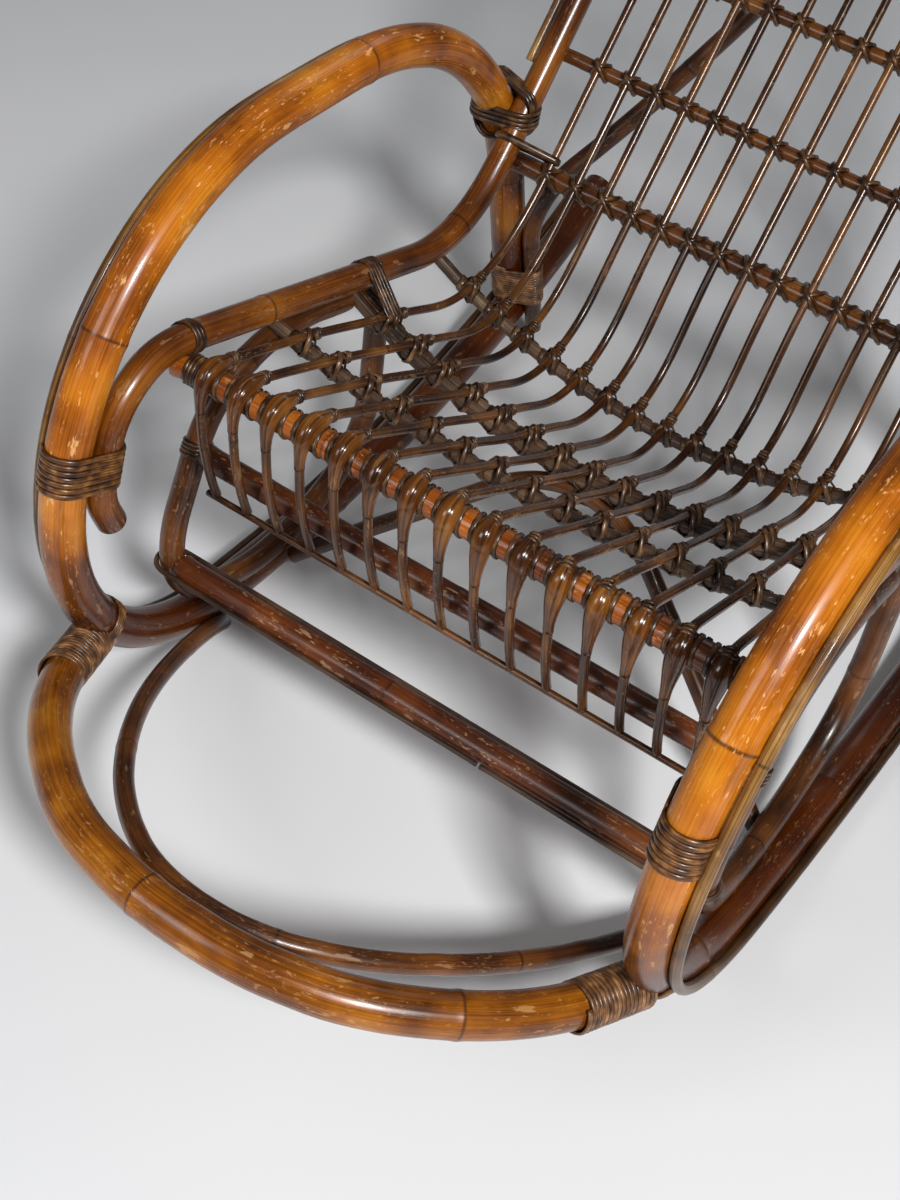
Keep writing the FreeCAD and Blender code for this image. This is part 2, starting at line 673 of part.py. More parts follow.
seat_arch_radius = radius("seat_arch_diameter")
nest = math.sqrt((wide_rail.thickness + seat_arch_radius + GAP) ** 2 - rod_apart.Length ** 2)
seat_apex = wide_rail.centre(0) - SEAT_UP * nest
foot_seat = loop_point(-size("seat_arch_foot_reach"), size("seat_arch_foot_height"))
foot_aside = math.sqrt((loop_radius + seat_arch_radius + GAP) ** 2
                       - (size("seat_arch_foot_height") - rocker_at(-size("seat_arch_foot_reach"))) ** 2)
seat_foot = foot_seat - ACROSS * foot_aside
seat_haunch = Vector(size("seat_arch_haunch_half_width"), seat_apex.y - 12,
                     seat_apex.z - size("seat_arch_haunch_drop"))
half_seat_arch = [Part.LineSegment(seat_foot, seat_haunch).toShape()]
half_seat_arch += smooth_path([seat_haunch, seat_apex], [seat_haunch - seat_foot, ACROSS * -1])
pole("under_seat_arch", whole_loop(half_seat_arch), "seat_arch_diameter")

# Cane lashings: one unbroken length of cane wound round one pole or two


def ring(ring_radius):
    """Places round one pole: distance along two axes, direction and which pole it lies on."""
    return [(ring_radius * math.cos(turn), ring_radius * math.sin(turn), turn, 0)
            for turn in (0, math.pi / 2, math.pi, 1.5 * math.pi)]


def belt(first_radius, second_radius, apart):
    """Places round two poles side by side, as one tight belt."""
    lean = math.acos((first_radius - second_radius) / apart)
    half = (math.pi + lean) / 2
    around = []
    for turn in (lean, half, math.pi, 2 * math.pi - half, 2 * math.pi - lean):
        around.append((first_radius * math.cos(turn), first_radius * math.sin(turn), turn, 0))
    for turn in (-lean, 0, lean):
        around.append((apart + second_radius * math.cos(turn), second_radius * math.sin(turn), turn, 1))
    return around


def winding_edges(middle, steps_along, across, beside, outline, turns, pitch, stretch=1.0):
    """One length of cane wound round the outline: steps_along is how each pole takes it forward."""
    points = []
    tangents = []
    per_turn = len(outline)
    for step in range(turns * per_turn + 1):
        first, second, turn, holder = outline[step % per_turn]
        forward = pitch * (step / per_turn - turns / 2)
        points.append(middle + across * first + beside * (second * stretch) + steps_along[holder] * forward)
        way = across * -math.sin(turn) + beside * (math.cos(turn) * stretch)
        advance = pitch / (2 * math.pi * abs(outline[0][0]) + pitch)
        tangents.append(way / way.Length + steps_along[holder] * advance)
    return smooth_path(points, tangents)


def least_self_gap(edges, cane, turns):
    """The smallest room between neighbouring turns, measured on points along the cane."""
    per_turn = len(edges) // turns
    marks = [edge.valueAt(edge.FirstParameter) for edge in edges]
    return min((late - early).Length for early, late in zip(marks, marks[per_turn:])) - cane


def lashing(label, edges, cane, turns):
    print(label, "least gap to itself", round(least_self_gap(edges, size(cane), turns), 2))
    pair(label, edges, cane)


cane_radius = radius("lashing_cane_diameter")
hold = size("lashing_slack") + cane_radius
pitch = size("lashing_pitch")

# arm front: binds the frame pole's curled end to the arm
behind = Vector(-lash_aside, CURL_UP.z * lash_behind, -CURL_UP.y * lash_behind)
apart = behind.Length
behind = behind / apart
arm_turns = int(size("arm_lashing_turns"))
lashing("arm_front_lashing",
        winding_edges(loop_at_lash, [CURL_UP, CURL_UP], behind, CURL_UP.cross(behind),
                      belt(loop_radius + hold, frame_radius + hold, apart), arm_turns, pitch),
        "lashing_cane_diameter", arm_turns)

# rear leg: binds the rear arch's foot to the leg, just above the rocker
leg_axis = leg_place(1) - leg_place(0)
leg_inward = leg_place(0, 1) - leg_place(0)
leg_turns = int(size("leg_lashing_turns"))
leg_lash_middle = leg_place(size("leg_lashing_start") + pitch * leg_turns / 2)
lashing("rear_leg_lashing",
        winding_edges(leg_lash_middle, [leg_axis, leg_axis], leg_inward, leg_axis.cross(leg_inward),
                      belt(loop_radius + hold, arch_radius + hold, arch_inward), leg_turns, pitch),
        "lashing_cane_diameter", leg_turns)

# arm and back post: two windings over the crossing, one on each diagonal
ARM_ALONG = Vector(0, rear_centre[1] - cross_place.z, cross_place.y - rear_centre[0]) / rear_radius
crossing = cross_place + ACROSS * cross_half_width
cross_apart = cross_half_width - frame_half_width
upright = ARM_ALONG + BACK_ALONG
upright = upright / upright.Length
level = ARM_ALONG - BACK_ALONG
level = level / level.Length
cross_hold = size("cross_lashing_slack") + cane_radius
layer = size("lashing_cane_diameter") + size("lashing_slack")
for name, way, normal, depth in (("inner_cross", upright, level, cross_hold),
                                 ("outer_cross", level, upright, cross_hold + layer)):
    cross_turns = int(size(f"{name}_turns"))
    lashing(f"{name}_lashing",
            winding_edges(crossing,
                          [ARM_ALONG / ARM_ALONG.dot(normal), BACK_ALONG / BACK_ALONG.dot(normal)],
                          ACROSS * -1, way,
                          belt(loop_radius + depth, frame_radius + depth, cross_apart), cross_turns, pitch,
                          1 / abs(ARM_ALONG.dot(normal))),
            "lashing_cane_diameter", cross_turns)

# footrest: covers each end of the thick loop
foot_turns = int(size("foot_lashing_turns"))
foot_pitch = size("foot_lashing_pitch")
foot_hold = radius("footrest_diameter") + GAP + radius("foot_lashing_cane_diameter")
foot_across = foot_inward.cross(FOOT_OVER)
foot_lash_middle = foot_start + foot_inward * (size("foot_lashing_start") + foot_pitch * foot_turns / 2)
lashing("footrest_lashing",
        winding_edges(foot_lash_middle, [foot_inward], foot_across, foot_inward.cross(foot_across),
                      ring(foot_hold), foot_turns, foot_pitch),
        "foot_lashing_cane_diameter", foot_turns)

# top of the back: covers the joint between the two frame poles
crest_turns = int(size("crest_lashing_turns"))
crest_hold = frame_radius + GAP + cane_radius
crest = winding_edges(top_centre, [ACROSS], BACK_BEHIND, ACROSS.cross(BACK_BEHIND), ring(crest_hold),
                      crest_turns, pitch)
print("crest_lashing least gap to itself",
      round(least_self_gap(crest, size("lashing_cane_diameter"), crest_turns), 2))
pole("crest_lashing", crest, "lashing_cane_diameter")

# At rest the chair leans until its centre of mass is above the resting point: it is turned about
# the rockers' common centre, which leaves the rockers on the floor

weight = 0.0
moment = Vector(0, 0, 0)
for label, edges, diameter in poles:
    for edge in clear_footrest if label == "footrest_loop" else edges:
        share = edge.Length * size(diameter) ** 2
        weight += share
        moment += edge.CenterOfMass * share
balance = moment / weight
rocker_centre = Vector(0, 0, rocker_height)
lean_back = math.degrees(math.atan2(balance.y, rocker_height - balance.z))
rest = FreeCAD.Placement(Vector(0, 0, 0), FreeCAD.Rotation(ACROSS, -lean_back), rocker_centre)
print("leans back", round(lean_back, 3), "degrees from the drawn position; drawn balance", balance)

# Sweep each pole, check every object, then write one file for each piece



def swept(label, edges, section_radius):
    """A round pole along the edges; its radius is a formula of the sheet's cells."""
    line = doc.addObject("Part::Feature", label + "_line")
    line.Shape = Part.Wire(edges)
    line.Placement = rest
    first = edges[0]
    begin = rest.multVec(first.valueAt(first.FirstParameter))
    heading = rest.Rotation.multVec(first.tangentAt(first.FirstParameter))
    section = doc.addObject("Part::Circle", label + "_section")
    section.setExpression("Radius", section_radius)
    section.Placement = FreeCAD.Placement(begin, FreeCAD.Rotation(Vector(0, 0, 1), heading))
    piece = doc.addObject("Part::Sweep", label)
    piece.Sections = [section]
    piece.Spine = line
    piece.Solid = True
    return piece


def coped(label, piece):
    """The footrest with its two ends hollowed to fit round the side loops' front bends."""
    for name, side in SIDES.items():
        bend = mirrored_edges(rocker_edges(0)[:1], side)
        room = swept(f"{label}_room_{name}", bend, "Sizes.loop_diameter / 2 + Sizes.clearance")
        cut = doc.addObject("Part::Cut", label if side < 0 else f"{label}_cut_{name}")
        cut.Base = piece
        cut.Tool = room
        piece = cut
    return piece


pieces = []
for label, edges, diameter in poles:
    if label == "footrest_loop":
        pieces.append(coped(label, swept(f"{label}_whole", edges, f"Sizes.{diameter} / 2")))
    else:
        pieces.append(swept(label, edges, f"Sizes.{diameter} / 2"))

doc.recompute()
for item in doc.Objects:
    if "Invalid" in item.State or "Error" in item.State:
        raise RuntimeError(f"{item.Label} failed: {item.State}")
os.makedirs("parts", exist_ok=True)
volume = 0.0
moment = Vector(0, 0, 0)
for piece in pieces:
    if piece.Shape.isNull() or not piece.Shape.isValid() or len(piece.Shape.Solids) != 1:
        raise RuntimeError(f"{piece.Label} isn't one valid solid")
    shape = piece.Shape.Solids[0]
    volume += shape.Volume
    moment += shape.CenterOfMass * shape.Volume
    shape.exportStep(f"parts/{piece.Label}.step")
print(len(pieces), "pieces, centre of mass", moment / volume, "volume", round(volume))
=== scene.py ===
# %% [markdown]
# # A rattan rocking chair
# The chair is made of bent rattan poles tied together with ribbons of split cane. The imported model
# already holds every pole as a plain tube in its right place. This lesson turns those tubes into
# grown, varnished cane: it reads the line of each tube, makes a pole along it that swells at its
# growth rings, winds the ribbons round the joints, and then lights the chair and sets up a camera.

# %% Load the imported chair and keep its box
import bisect
import bmesh
import bpy
import heapq
import math
import random
from mathutils import Matrix, Vector, kdtree, noise
from mathutils.geometry import interpolate_bezier, intersect_line_line


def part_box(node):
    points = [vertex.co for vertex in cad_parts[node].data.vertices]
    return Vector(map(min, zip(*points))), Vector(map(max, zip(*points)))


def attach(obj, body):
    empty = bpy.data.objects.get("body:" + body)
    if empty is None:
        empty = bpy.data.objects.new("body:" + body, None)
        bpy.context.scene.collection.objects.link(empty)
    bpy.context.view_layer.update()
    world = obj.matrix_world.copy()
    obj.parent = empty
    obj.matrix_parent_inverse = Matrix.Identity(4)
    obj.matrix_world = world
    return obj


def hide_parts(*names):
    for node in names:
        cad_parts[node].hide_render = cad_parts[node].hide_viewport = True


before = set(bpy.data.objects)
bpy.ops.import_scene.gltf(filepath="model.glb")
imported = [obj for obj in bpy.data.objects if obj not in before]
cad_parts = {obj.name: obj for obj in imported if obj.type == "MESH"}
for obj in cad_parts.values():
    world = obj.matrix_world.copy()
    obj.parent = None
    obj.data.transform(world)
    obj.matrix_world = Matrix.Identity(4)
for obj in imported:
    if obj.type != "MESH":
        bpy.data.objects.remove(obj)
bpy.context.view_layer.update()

MM = 0.001

# %% [markdown]
# ## Colours and nodes
# Colours are written as the hex values that a painter would pick from a picture. Blender computes
# with linear light, so one function converts them. A second function adds a shader node, sets its
# options, and either links or sets each input, which keeps every material below short.

# %% Helpers for materials


def paint(code):
    """A hex colour as linear red, green, blue and alpha."""
    parts = [int(code[place:place + 2], 16) / 255 for place in (1, 3, 5)]
    linear = [part / 12.92 if part <= 0.04045 else ((part + 0.055) / 1.055) ** 2.4 for part in parts]
    return (*linear, 1.0)


def add(tree, kind, inputs, stops=None, **settings):
    """Add a shader node, with its settings, its input values or links, and its ramp's stops."""
    node = tree.nodes.new("ShaderNode" + kind)
    for name, value in settings.items():
        setattr(node, name, value)
    for key, value in inputs.items():
        if isinstance(value, bpy.types.NodeSocket):
            tree.links.new(value, node.inputs[key])
        else:
            node.inputs[key].default_value = value
    if stops:
        elements = node.color_ramp.elements
        while len(elements) < len(stops):
            elements.new(0.5)
        for element, (place, code) in zip(elements, stops):
            element.position = place
            element.color = paint(code)
    return node


def new_material(name):
    """A named material with an empty node tree."""
    material = bpy.data.materials.new(name)
    material.use_nodes = True
    material.node_tree.nodes.clear()
    return material, material.node_tree


# the sockets of a Mix node that mixes colours, and the places of four tones on a ramp
FACTOR, FIRST, SECOND, MIXED = 0, 6, 7, 2
TONES = (0.36, 0.46, 0.54, 0.66)
print("paint #808080 is", round(paint("#808080")[0], 3))

# %% [markdown]
# ## Rattan with its skin on
# A rattan pole keeps the hard glossy skin of the palm stem. Under varnish one sees long fibres that
# run with the pole, thin dark cracks, pools of dark varnish, a scar round each growth ring, and pale
# spots where the varnish has flaked off. All of these must follow every bend, so the pattern reads the
# pole's own UV map: its first number is the distance along the pole in metres and its second goes once
# round. The second is wrapped onto a circle of the pole's own size, which hides the seam and lets every
# mark be sized in millimetres. Fibres of rattan are about 0.4 mm wide; they are drawn about 1.7 mm wide,
# so that they show at this distance.

# %% Varnished cane
PATCH = 70 * MM
DRIFT = 140 * MM
CANE_IOR = 1.45
COAT = 0.15
RELIEF = 0.25 * MM


def varnished_cane(name, diameter, colours, dark, pale, shade, wear, roughness, cracked=0.6, grooves=0):
    """Glossy cane: fibres and cracks along the pole, dark stains, growth scars and flaked varnish."""
    material, tree = new_material(name)
    coords = add(tree, "TexCoord", {})
    place = add(tree, "SeparateXYZ", {0: coords.outputs["UV"]})
    turn = add(tree, "Math", {0: place.outputs[1], 1: 2 * math.pi}, operation="MULTIPLY").outputs[0]
    side = add(tree, "Math", {0: turn}, operation="COSINE").outputs[0]
    front = add(tree, "Math", {0: turn}, operation="SINE").outputs[0]
    ring = add(tree, "CombineXYZ", {1: side, 2: front}).outputs[0]
    ring = add(tree, "VectorMath", {0: ring, "Scale": diameter / 2 * MM}, operation="SCALE").outputs[0]
    run = add(tree, "CombineXYZ", {0: place.outputs[0]}).outputs[0]
    on_skin = add(tree, "VectorMath", {0: run, 1: ring}, operation="ADD").outputs[0]

    def marks(length, width, detail):
        """Noise whose spots have a length along the pole and a width round it, in millimetres."""
        size = (1 / (length * MM), 1 / (width * MM), 1 / (width * MM))
        sized = add(tree, "VectorMath", {0: on_skin, 1: size}, operation="MULTIPLY").outputs[0]
        return add(tree, "TexNoise", {"Vector": sized, "Scale": 1.0, "Detail": detail,
                                      "Roughness": 0.6}).outputs[0]

    def spots(length, width, detail, start, full, most):
        """Marks that begin to show where their noise is above a start, and show most where it is full."""
        return add(tree, "MapRange", {"Value": marks(length, width, detail), "From Min": start,
                                      "From Max": full, "To Min": 0.0, "To Max": most}).outputs[0]

    def noted(note, start):
        """Dark places that the vertices of a pole have noted."""
        value = add(tree, "Attribute", {}, attribute_name=note).outputs["Fac"]
        return add(tree, "MapRange", {"Value": value, "From Min": start, "From Max": 1.0,
                                      "To Min": 0.0, "To Max": 0.8}).outputs[0]

    # long fibres and broad patches make the tone of the skin
    fibres = marks(130, 1.7, 4.0)
    patches = add(tree, "TexNoise", {"Vector": coords.outputs["Object"], "Scale": 1 / PATCH,
                                     "Detail": 3.0}).outputs[0]
    tone = add(tree, "Mix", {"Factor": 0.68, "A": fibres, "B": patches}, data_type="FLOAT").outputs[0]
    skin = add(tree, "ValToRGB", {0: tone}, stops=list(zip(TONES, colours))).outputs[0]
    # a tint of stain and painted shade deepens one part of the chair's height; the patches make its border
    # waver
    tint, full_at, none_at = shade
    height = add(tree, "SeparateXYZ", {0: coords.outputs["Object"]}).outputs[2]
    drift = add(tree, "Math", {0: patches, 1: DRIFT, 2: height}, operation="MULTIPLY_ADD").outputs[0]
    depth = add(tree, "MapRange", {"Value": drift, "From Min": none_at * MM + DRIFT / 2,
                                   "From Max": full_at * MM + DRIFT / 2, "To Min": 0.0,
                                   "To Max": 1.0}).outputs[0]
    deep = add(tree, "Mix", {FACTOR: 1.0, FIRST: skin, SECOND: paint(tint)}, data_type="RGBA",
               blend_type="MULTIPLY").outputs[MIXED]
    skin = add(tree, "Mix", {FACTOR: depth, FIRST: skin, SECOND: deep}, data_type="RGBA").outputs[MIXED]
    # pools of varnish, cracks, varnish round the ties and scars at the growth rings
    cracks = spots(30, 1.6, 2.0, 0.68, 0.74, cracked)
    covers = [spots(60, 15, 3.0, 0.56, 0.70, 0.45), cracks, noted("stain", 0.25), noted("scar", 0.1)]
    covers = [(amount, dark) for amount in covers]
    # bare cane in clusters of flecks and in larger flakes, fewer where the tint is deep
    clusters = spots(90, 16, 2.0, 0.47, 0.56, 1.0)
    flecks = spots(6, 2.2, 3.0, 0.60, 0.66, wear)
    flecks = add(tree, "Math", {0: flecks, 1: clusters}, operation="MULTIPLY").outputs[0]
    flakes = spots(24, 8, 5.0, 0.635, 0.665, wear)
    bare = add(tree, "Math", {0: flecks, 1: flakes}, operation="MAXIMUM").outputs[0]
    kept = add(tree, "MapRange", {"Value": depth, "From Min": 0.0, "From Max": 1.0, "To Min": 1.0,
                                  "To Max": 0.25}).outputs[0]
    bare = add(tree, "Math", {0: bare, 1: kept}, operation="MULTIPLY").outputs[0]
    covers.append((bare, pale))
    rough = add(tree, "MapRange", {"Value": fibres, "From Min": 0.25, "From Max": 0.8,
                                   "To Min": roughness, "To Max": roughness + 0.16}).outputs[0]
    rough = add(tree, "Math", {0: bare, 1: 0.25, 2: rough}, operation="MULTIPLY_ADD").outputs[0]
    relief = add(tree, "Math", {0: cracks, 1: -1.0, 2: fibres}, operation="MULTIPLY_ADD").outputs[0]
    if grooves:
        # painted shade in the creases between the splints of a bundle or the ribs of a strip, with a dip in
        # the bump
        wave = add(tree, "Math", {0: turn, 1: float(grooves)}, operation="MULTIPLY").outputs[0]
        wave = add(tree, "Math", {0: wave}, operation="COSINE").outputs[0]
        wave = add(tree, "Math", {0: wave}, operation="ABSOLUTE").outputs[0]
        crease = add(tree, "MapRange", {"Value": wave, "From Min": 0.0, "From Max": 0.4,
                                        "To Min": 0.75, "To Max": 0.0}).outputs[0]
        covers.append((crease, dark))
        relief = add(tree, "Math", {0: crease, 1: -3.0, 2: relief}, operation="MULTIPLY_ADD").outputs[0]
    for amount, colour in covers:
        skin = add(tree, "Mix", {FACTOR: amount, FIRST: skin, SECOND: paint(colour)},
                   data_type="RGBA").outputs[MIXED]
    bump = add(tree, "Bump", {"Strength": 0.5, "Distance": RELIEF, "Height": relief}).outputs[0]
    shader = add(tree, "BsdfPrincipled", {"Base Color": skin, "Roughness": rough, "Normal": bump,
                                          "IOR": CANE_IOR, "Coat Weight": COAT, "Coat Roughness": 0.08})
    add(tree, "OutputMaterial", {"Surface": shader.outputs[0]})
    return material


print("patches of", round(PATCH / MM), "mm, and borders of a tint that waver by", round(DRIFT / MM), "mm")

# %% [markdown]
# ## Finishes of the poles
# The poles of the chair were varnished in one go, but they have aged apart. Arms and footrest are rubbed
# and glow amber, what lies low is dark with stain and with painted shade, and the slats are nearly brown.
# One function makes them all, so they stay one family. Each finish has the pole's diameter in millimetres,
# four tones from dark to light, the colour of stains, which also paints the shade in grooves, the colour of
# bare cane, and a tint of stain and painted shade with the height at which it is full and the height at
# which it ends. Wear says how strongly bare cane shows. Grooves divide a bundle or a ribbed strip.

# %% Finishes
# amber varnish on the thick cane of the arms, going dark brown round the front bends and rockers with stain
# and painted shade
arm_cane = varnished_cane("varnished_rattan_amber", 38, ("#783c07", "#a55909", "#bf6e0f", "#d68a22"),
                          "#2a1003", "#e6ac6c", ("#6e5a48", 170, 330), wear=0.75, roughness=0.22)
# the footrest has the same varnish, darker, with long black cracks
footrest_cane = varnished_cane("cracked_rattan_amber", 36, ("#3e1c05", "#733d07", "#96560a", "#b8771e"),
                               "#180802", "#c4935a", ("#a89a88", 0, 60), wear=0.5, roughness=0.2,
                               cracked=0.95)
# orange-brown varnish on the seat and back poles, going dark up the posts
frame_cane = varnished_cane("varnished_rattan_brown", 26, ("#3c1b06", "#633209", "#7d440d", "#9c5d1c"),
                            "#1c0a03", "#bc9060", ("#6e4c40", 520, 400), wear=0.35, roughness=0.2)
# dark brown poles under the seat, with amber lights
low_cane = varnished_cane("varnished_rattan_dark", 23, ("#231006", "#47250c", "#5f3410", "#7f4a1c"),
                          "#120703", "#a98560", ("#a89c90", 0, 120), wear=0.4, roughness=0.26)
# red-brown front bars, rubbed by feet and specked; their tones are darkened partly as painted shade, for the
# shadow on the upper bar
bar_cane = varnished_cane("rubbed_rattan_red", 24, ("#291006", "#4c220b", "#602e0e", "#7c441a"),
                          "#150803", "#b58e68", ("#b0a498", 0, 120), wear=0.6, roughness=0.30)
# the front rail, orange-brown, with dark varnish round every tie
rail_cane = varnished_cane("varnished_rattan_orange", 24, ("#461f06", "#783a08", "#964d0c", "#b46a1e"),
                           "#200d04", "#d4a878", ("#b0a498", 150, 330), wear=0.35, roughness=0.22)
# the thin rails of the back are darker
back_cane = varnished_cane("varnished_rattan_umber", 16, ("#2a1307", "#4b260b", "#63370f", "#825220"),
                           "#180a04", "#b08c60", ("#b0a498", 150, 330), wear=0.3, roughness=0.2)
# thin slats, dark in the grain with golden lights
slat_cane = varnished_cane("varnished_slat_cane", 8, ("#221107", "#40220b", "#573311", "#7d4f22"),
                           "#130803", "#a88458", ("#c0b4a8", 150, 330), wear=0.35, roughness=0.17)
# split cane over the slats' front bends, rubbed to a high gloss, brown with golden lights
knob_cane = varnished_cane("golden_split_cane", 16, ("#2a1508", "#4d290e", "#6a3e13", "#935f2a"),
                           "#180b04", "#b89058", ("#c0b0a0", 100, 250), wear=0.2, roughness=0.12, grooves=2)
# seat rails bundled from split cane, grey-brown where the varnish has worn
split_cane = varnished_cane("split_cane_bundle", 13, ("#2a1d15", "#453225", "#5e4735", "#856a50"),
                            "#120b07", "#a08a70", ("#b09a90", 100, 330), wear=0.4, roughness=0.34, grooves=4)
# the ribbed strips that lie along the arms and posts
strip_cane = varnished_cane("ribbed_cane_strip", 9, ("#3e2510", "#6c4519", "#8a6028", "#b08448"),
                            "#20120a", "#c8a068", ("#847a72", 60, 280), wear=0.3, roughness=0.28, grooves=5)
print("cane materials", len(bpy.data.materials))

# %% [markdown]
# ## Ribbons for the lashings
# The joints are bound with flat ribbons cut from the skin of the cane. They are thin and a little
# dusty, some turns are tan and some nearly black, and painted shade darkens the creases between the turns.
# Each vertex of a ribbon knows how far across the ribbon it is, from -1 at one edge to 1 at the other. That
# number darkens the edges with painted shade, and shifts a noise quickly across and slowly along, which
# draws fibres.

# %% Cane ribbon
FIBRE_RUN = 16 * MM
TURN_PATCH = 9 * MM
CREASE_SHADE = "#120a05"


def cane_ribbon(name, colours, roughness):
    """Split ribbon: turns of different tone, fibres along it and painted shade in the creases at its edges.
    """
    material, tree = new_material(name)
    spot = add(tree, "TexCoord", {}).outputs["Object"]
    across = add(tree, "Attribute", {}, attribute_name="across").outputs["Fac"]
    fan = add(tree, "CombineXYZ", {0: across, 1: across, 2: across}).outputs[0]
    fan = add(tree, "VectorMath", {0: fan, "Scale": 2.5}, operation="SCALE").outputs[0]
    run = add(tree, "VectorMath", {0: spot, "Scale": 1 / FIBRE_RUN}, operation="SCALE").outputs[0]
    strand = add(tree, "VectorMath", {0: run, 1: fan}, operation="ADD").outputs[0]
    fibres = add(tree, "TexNoise", {"Vector": strand, "Scale": 1.0, "Detail": 4.0,
                                    "Roughness": 0.65}).outputs[0]
    turns = add(tree, "TexNoise", {"Vector": spot, "Scale": 1 / TURN_PATCH, "Detail": 1.0}).outputs[0]
    tone = add(tree, "Mix", {"Factor": 0.45, "A": fibres, "B": turns}, data_type="FLOAT").outputs[0]
    skin = add(tree, "ValToRGB", {0: tone}, stops=list(zip(TONES, colours))).outputs[0]
    # painted shade darkens the edges of every turn, where the turns meet
    edge = add(tree, "Math", {0: across}, operation="ABSOLUTE").outputs[0]
    crease = add(tree, "MapRange", {"Value": edge, "From Min": 0.72, "From Max": 1.0, "To Min": 0.0,
                                    "To Max": 0.9}).outputs[0]
    skin = add(tree, "Mix", {FACTOR: crease, FIRST: skin, SECOND: paint(CREASE_SHADE)},
               data_type="RGBA").outputs[MIXED]
    rough = add(tree, "MapRange", {"Value": fibres, "From Min": 0.3, "From Max": 0.7,
                                   "To Min": roughness, "To Max": roughness + 0.2}).outputs[0]
    bump = add(tree, "Bump", {"Strength": 0.5, "Distance": RELIEF, "Height": fibres}).outputs[0]
    shader = add(tree, "BsdfPrincipled", {"Base Color": skin, "Roughness": rough, "Normal": bump,
                                          "IOR": CANE_IOR, "Coat Weight": COAT, "Coat Roughness": 0.12})
    add(tree, "OutputMaterial", {"Surface": shader.outputs[0]})
    return material


# ribbons of the rear legs and the footrest, worn to a greyish tan
tan_ribbon = cane_ribbon("worn_cane_ribbon", ("#241309", "#563618", "#7e5431", "#b58658"), roughness=0.32)
# ribbons of the arm lashings, golden brown and still glossy
gold_ribbon = cane_ribbon("golden_cane_ribbon", ("#241107", "#4d2c10", "#6f451b", "#a2713b"), roughness=0.22)
# ribbons of the back and the frame, dark with varnish
dark_ribbon = cane_ribbon("varnished_cane_ribbon", ("#170d07", "#362012", "#50331c", "#86623a"),
                          roughness=0.22)
# ribbons of the seat's slat ties, dark brown with dusty lights
seat_ribbon = cane_ribbon("dusty_cane_ribbon", ("#190e07", "#372112", "#51351d", "#8a6641"), roughness=0.24)
print("ribbon materials", tan_ribbon.name, gold_ribbon.name, dark_ribbon.name, seat_ribbon.name)

# %% [markdown]
# ## Reading a pole's line
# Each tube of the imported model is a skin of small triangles, and each corner has a normal that points
# straight out of the tube. Stepping back along the normal by the tube's radius lands on its centre
# line, so every corner gives one point of that line. The triangles also say which points are
# neighbours. The shortest way through those neighbours, from one end to the other, puts the points in
# order and tells how far along the pole each one is. Read this way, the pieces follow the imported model.

# %% Points under the skin
FLAT = 0.9999
SAME_PLACE = 0.5 * MM


def walk(points, links, start):
    """Distance along the pole from the start to every point."""
    far = {start: 0.0}
    queue = [(0.0, start)]
    while queue:
        distance, here = heapq.heappop(queue)
        if distance > far[here]:
            continue
        for there in links[here]:
            step = distance + (points[there] - points[here]).length
            if step < far.get(there, math.inf):
                far[there] = step
                heapq.heappush(queue, (step, there))
    return far


def line_points(node, thickness):
    """The points under a tube's skin that lie on its centre line, and which are neighbours."""
    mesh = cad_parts[node].data
    normals = mesh.corner_normals
    mesh.calc_loop_triangles()
    points, links = {}, {}
    for triangle in mesh.loop_triangles:
        out = [normals[corner].vector.copy() for corner in triangle.loops]
        # a flat end of the tube has no line under it
        if out[0].dot(out[1]) > FLAT and out[1].dot(out[2]) > FLAT:
            continue
        keys = []
        for vertex, normal in zip(triangle.vertices, out):
            point = mesh.vertices[vertex].co - normal * thickness
            key = tuple(round(value / SAME_PLACE) for value in point)
            points.setdefault(key, point)
            keys.append(key)
        for one, other in zip(keys, keys[1:] + keys[:1]):
            links.setdefault(one, set()).add(other)
            links.setdefault(other, set()).add(one)
    return points, links


print("slat_08 has", len(line_points("slat_08", 4 * MM)[0]), "points on its line")

# %% Centre lines
TINY = 1e-9
LEAST_STEPS = 8
LINE_PASSES = 8


def smooth(line, passes):
    """Even out the small waves of a line, with its ends held."""
    for _ in range(passes):
        middle = [a * 0.25 + b * 0.5 + c * 0.25 for a, b, c in zip(line, line[1:], line[2:])]
        line = [line[0]] + middle + [line[-1]]
    return line


def centre_line(node, thickness, step):
    """Evenly spaced points along a tube's centre line."""
    points, links = line_points(node, thickness)
    first = walk(points, links, next(iter(points)))
    far = walk(points, links, max(first, key=first.get))
    order = sorted(far, key=far.get)
    length = far[order[-1]]
    count = max(LEAST_STEPS, round(length / step)) * 2
    line = []
    place = 0
    for index in range(count + 1):
        wanted = length * index / count
        while place < len(order) - 2 and far[order[place + 1]] < wanted:
            place += 1
        before, after = order[place], order[place + 1]
        share = (wanted - far[before]) / max(far[after] - far[before], TINY)
        line.append(points[before].lerp(points[after], min(max(share, 0.0), 1.0)))
    return smooth(line, LINE_PASSES)[::2]


def along_line(line):
    """The distance of every point of a line from its start."""
    reach = [0.0]
    for before, after in zip(line, line[1:]):
        reach.append(reach[-1] + (after - before).length)
    return reach


def point_at(line, reach, wanted):
    """The point of a line at a distance from its start."""
    place = min(max(bisect.bisect_right(reach, wanted) - 1, 0), len(line) - 2)
    share = (wanted - reach[place]) / max(reach[place + 1] - reach[place], TINY)
    return line[place].lerp(line[place + 1], share)


trial = centre_line("slat_08", 4 * MM, 8 * MM)
print("slat_08 is", round(along_line(trial)[-1], 3), "m long, from", trial[0], "to", trial[-1])

# %% [markdown]
# ## Every pole of the chair
# One table gives each pole its diameter, its finish, its slot, the sides of its mesh and how far apart
# its growth rings are: thick cane has long joints and thin cane short ones, and split cane has almost
# none. Diameters and distances are in millimetres. The table's names are the beginnings of the packed
# node names, so left and right sides and all fifteen slats share a row.

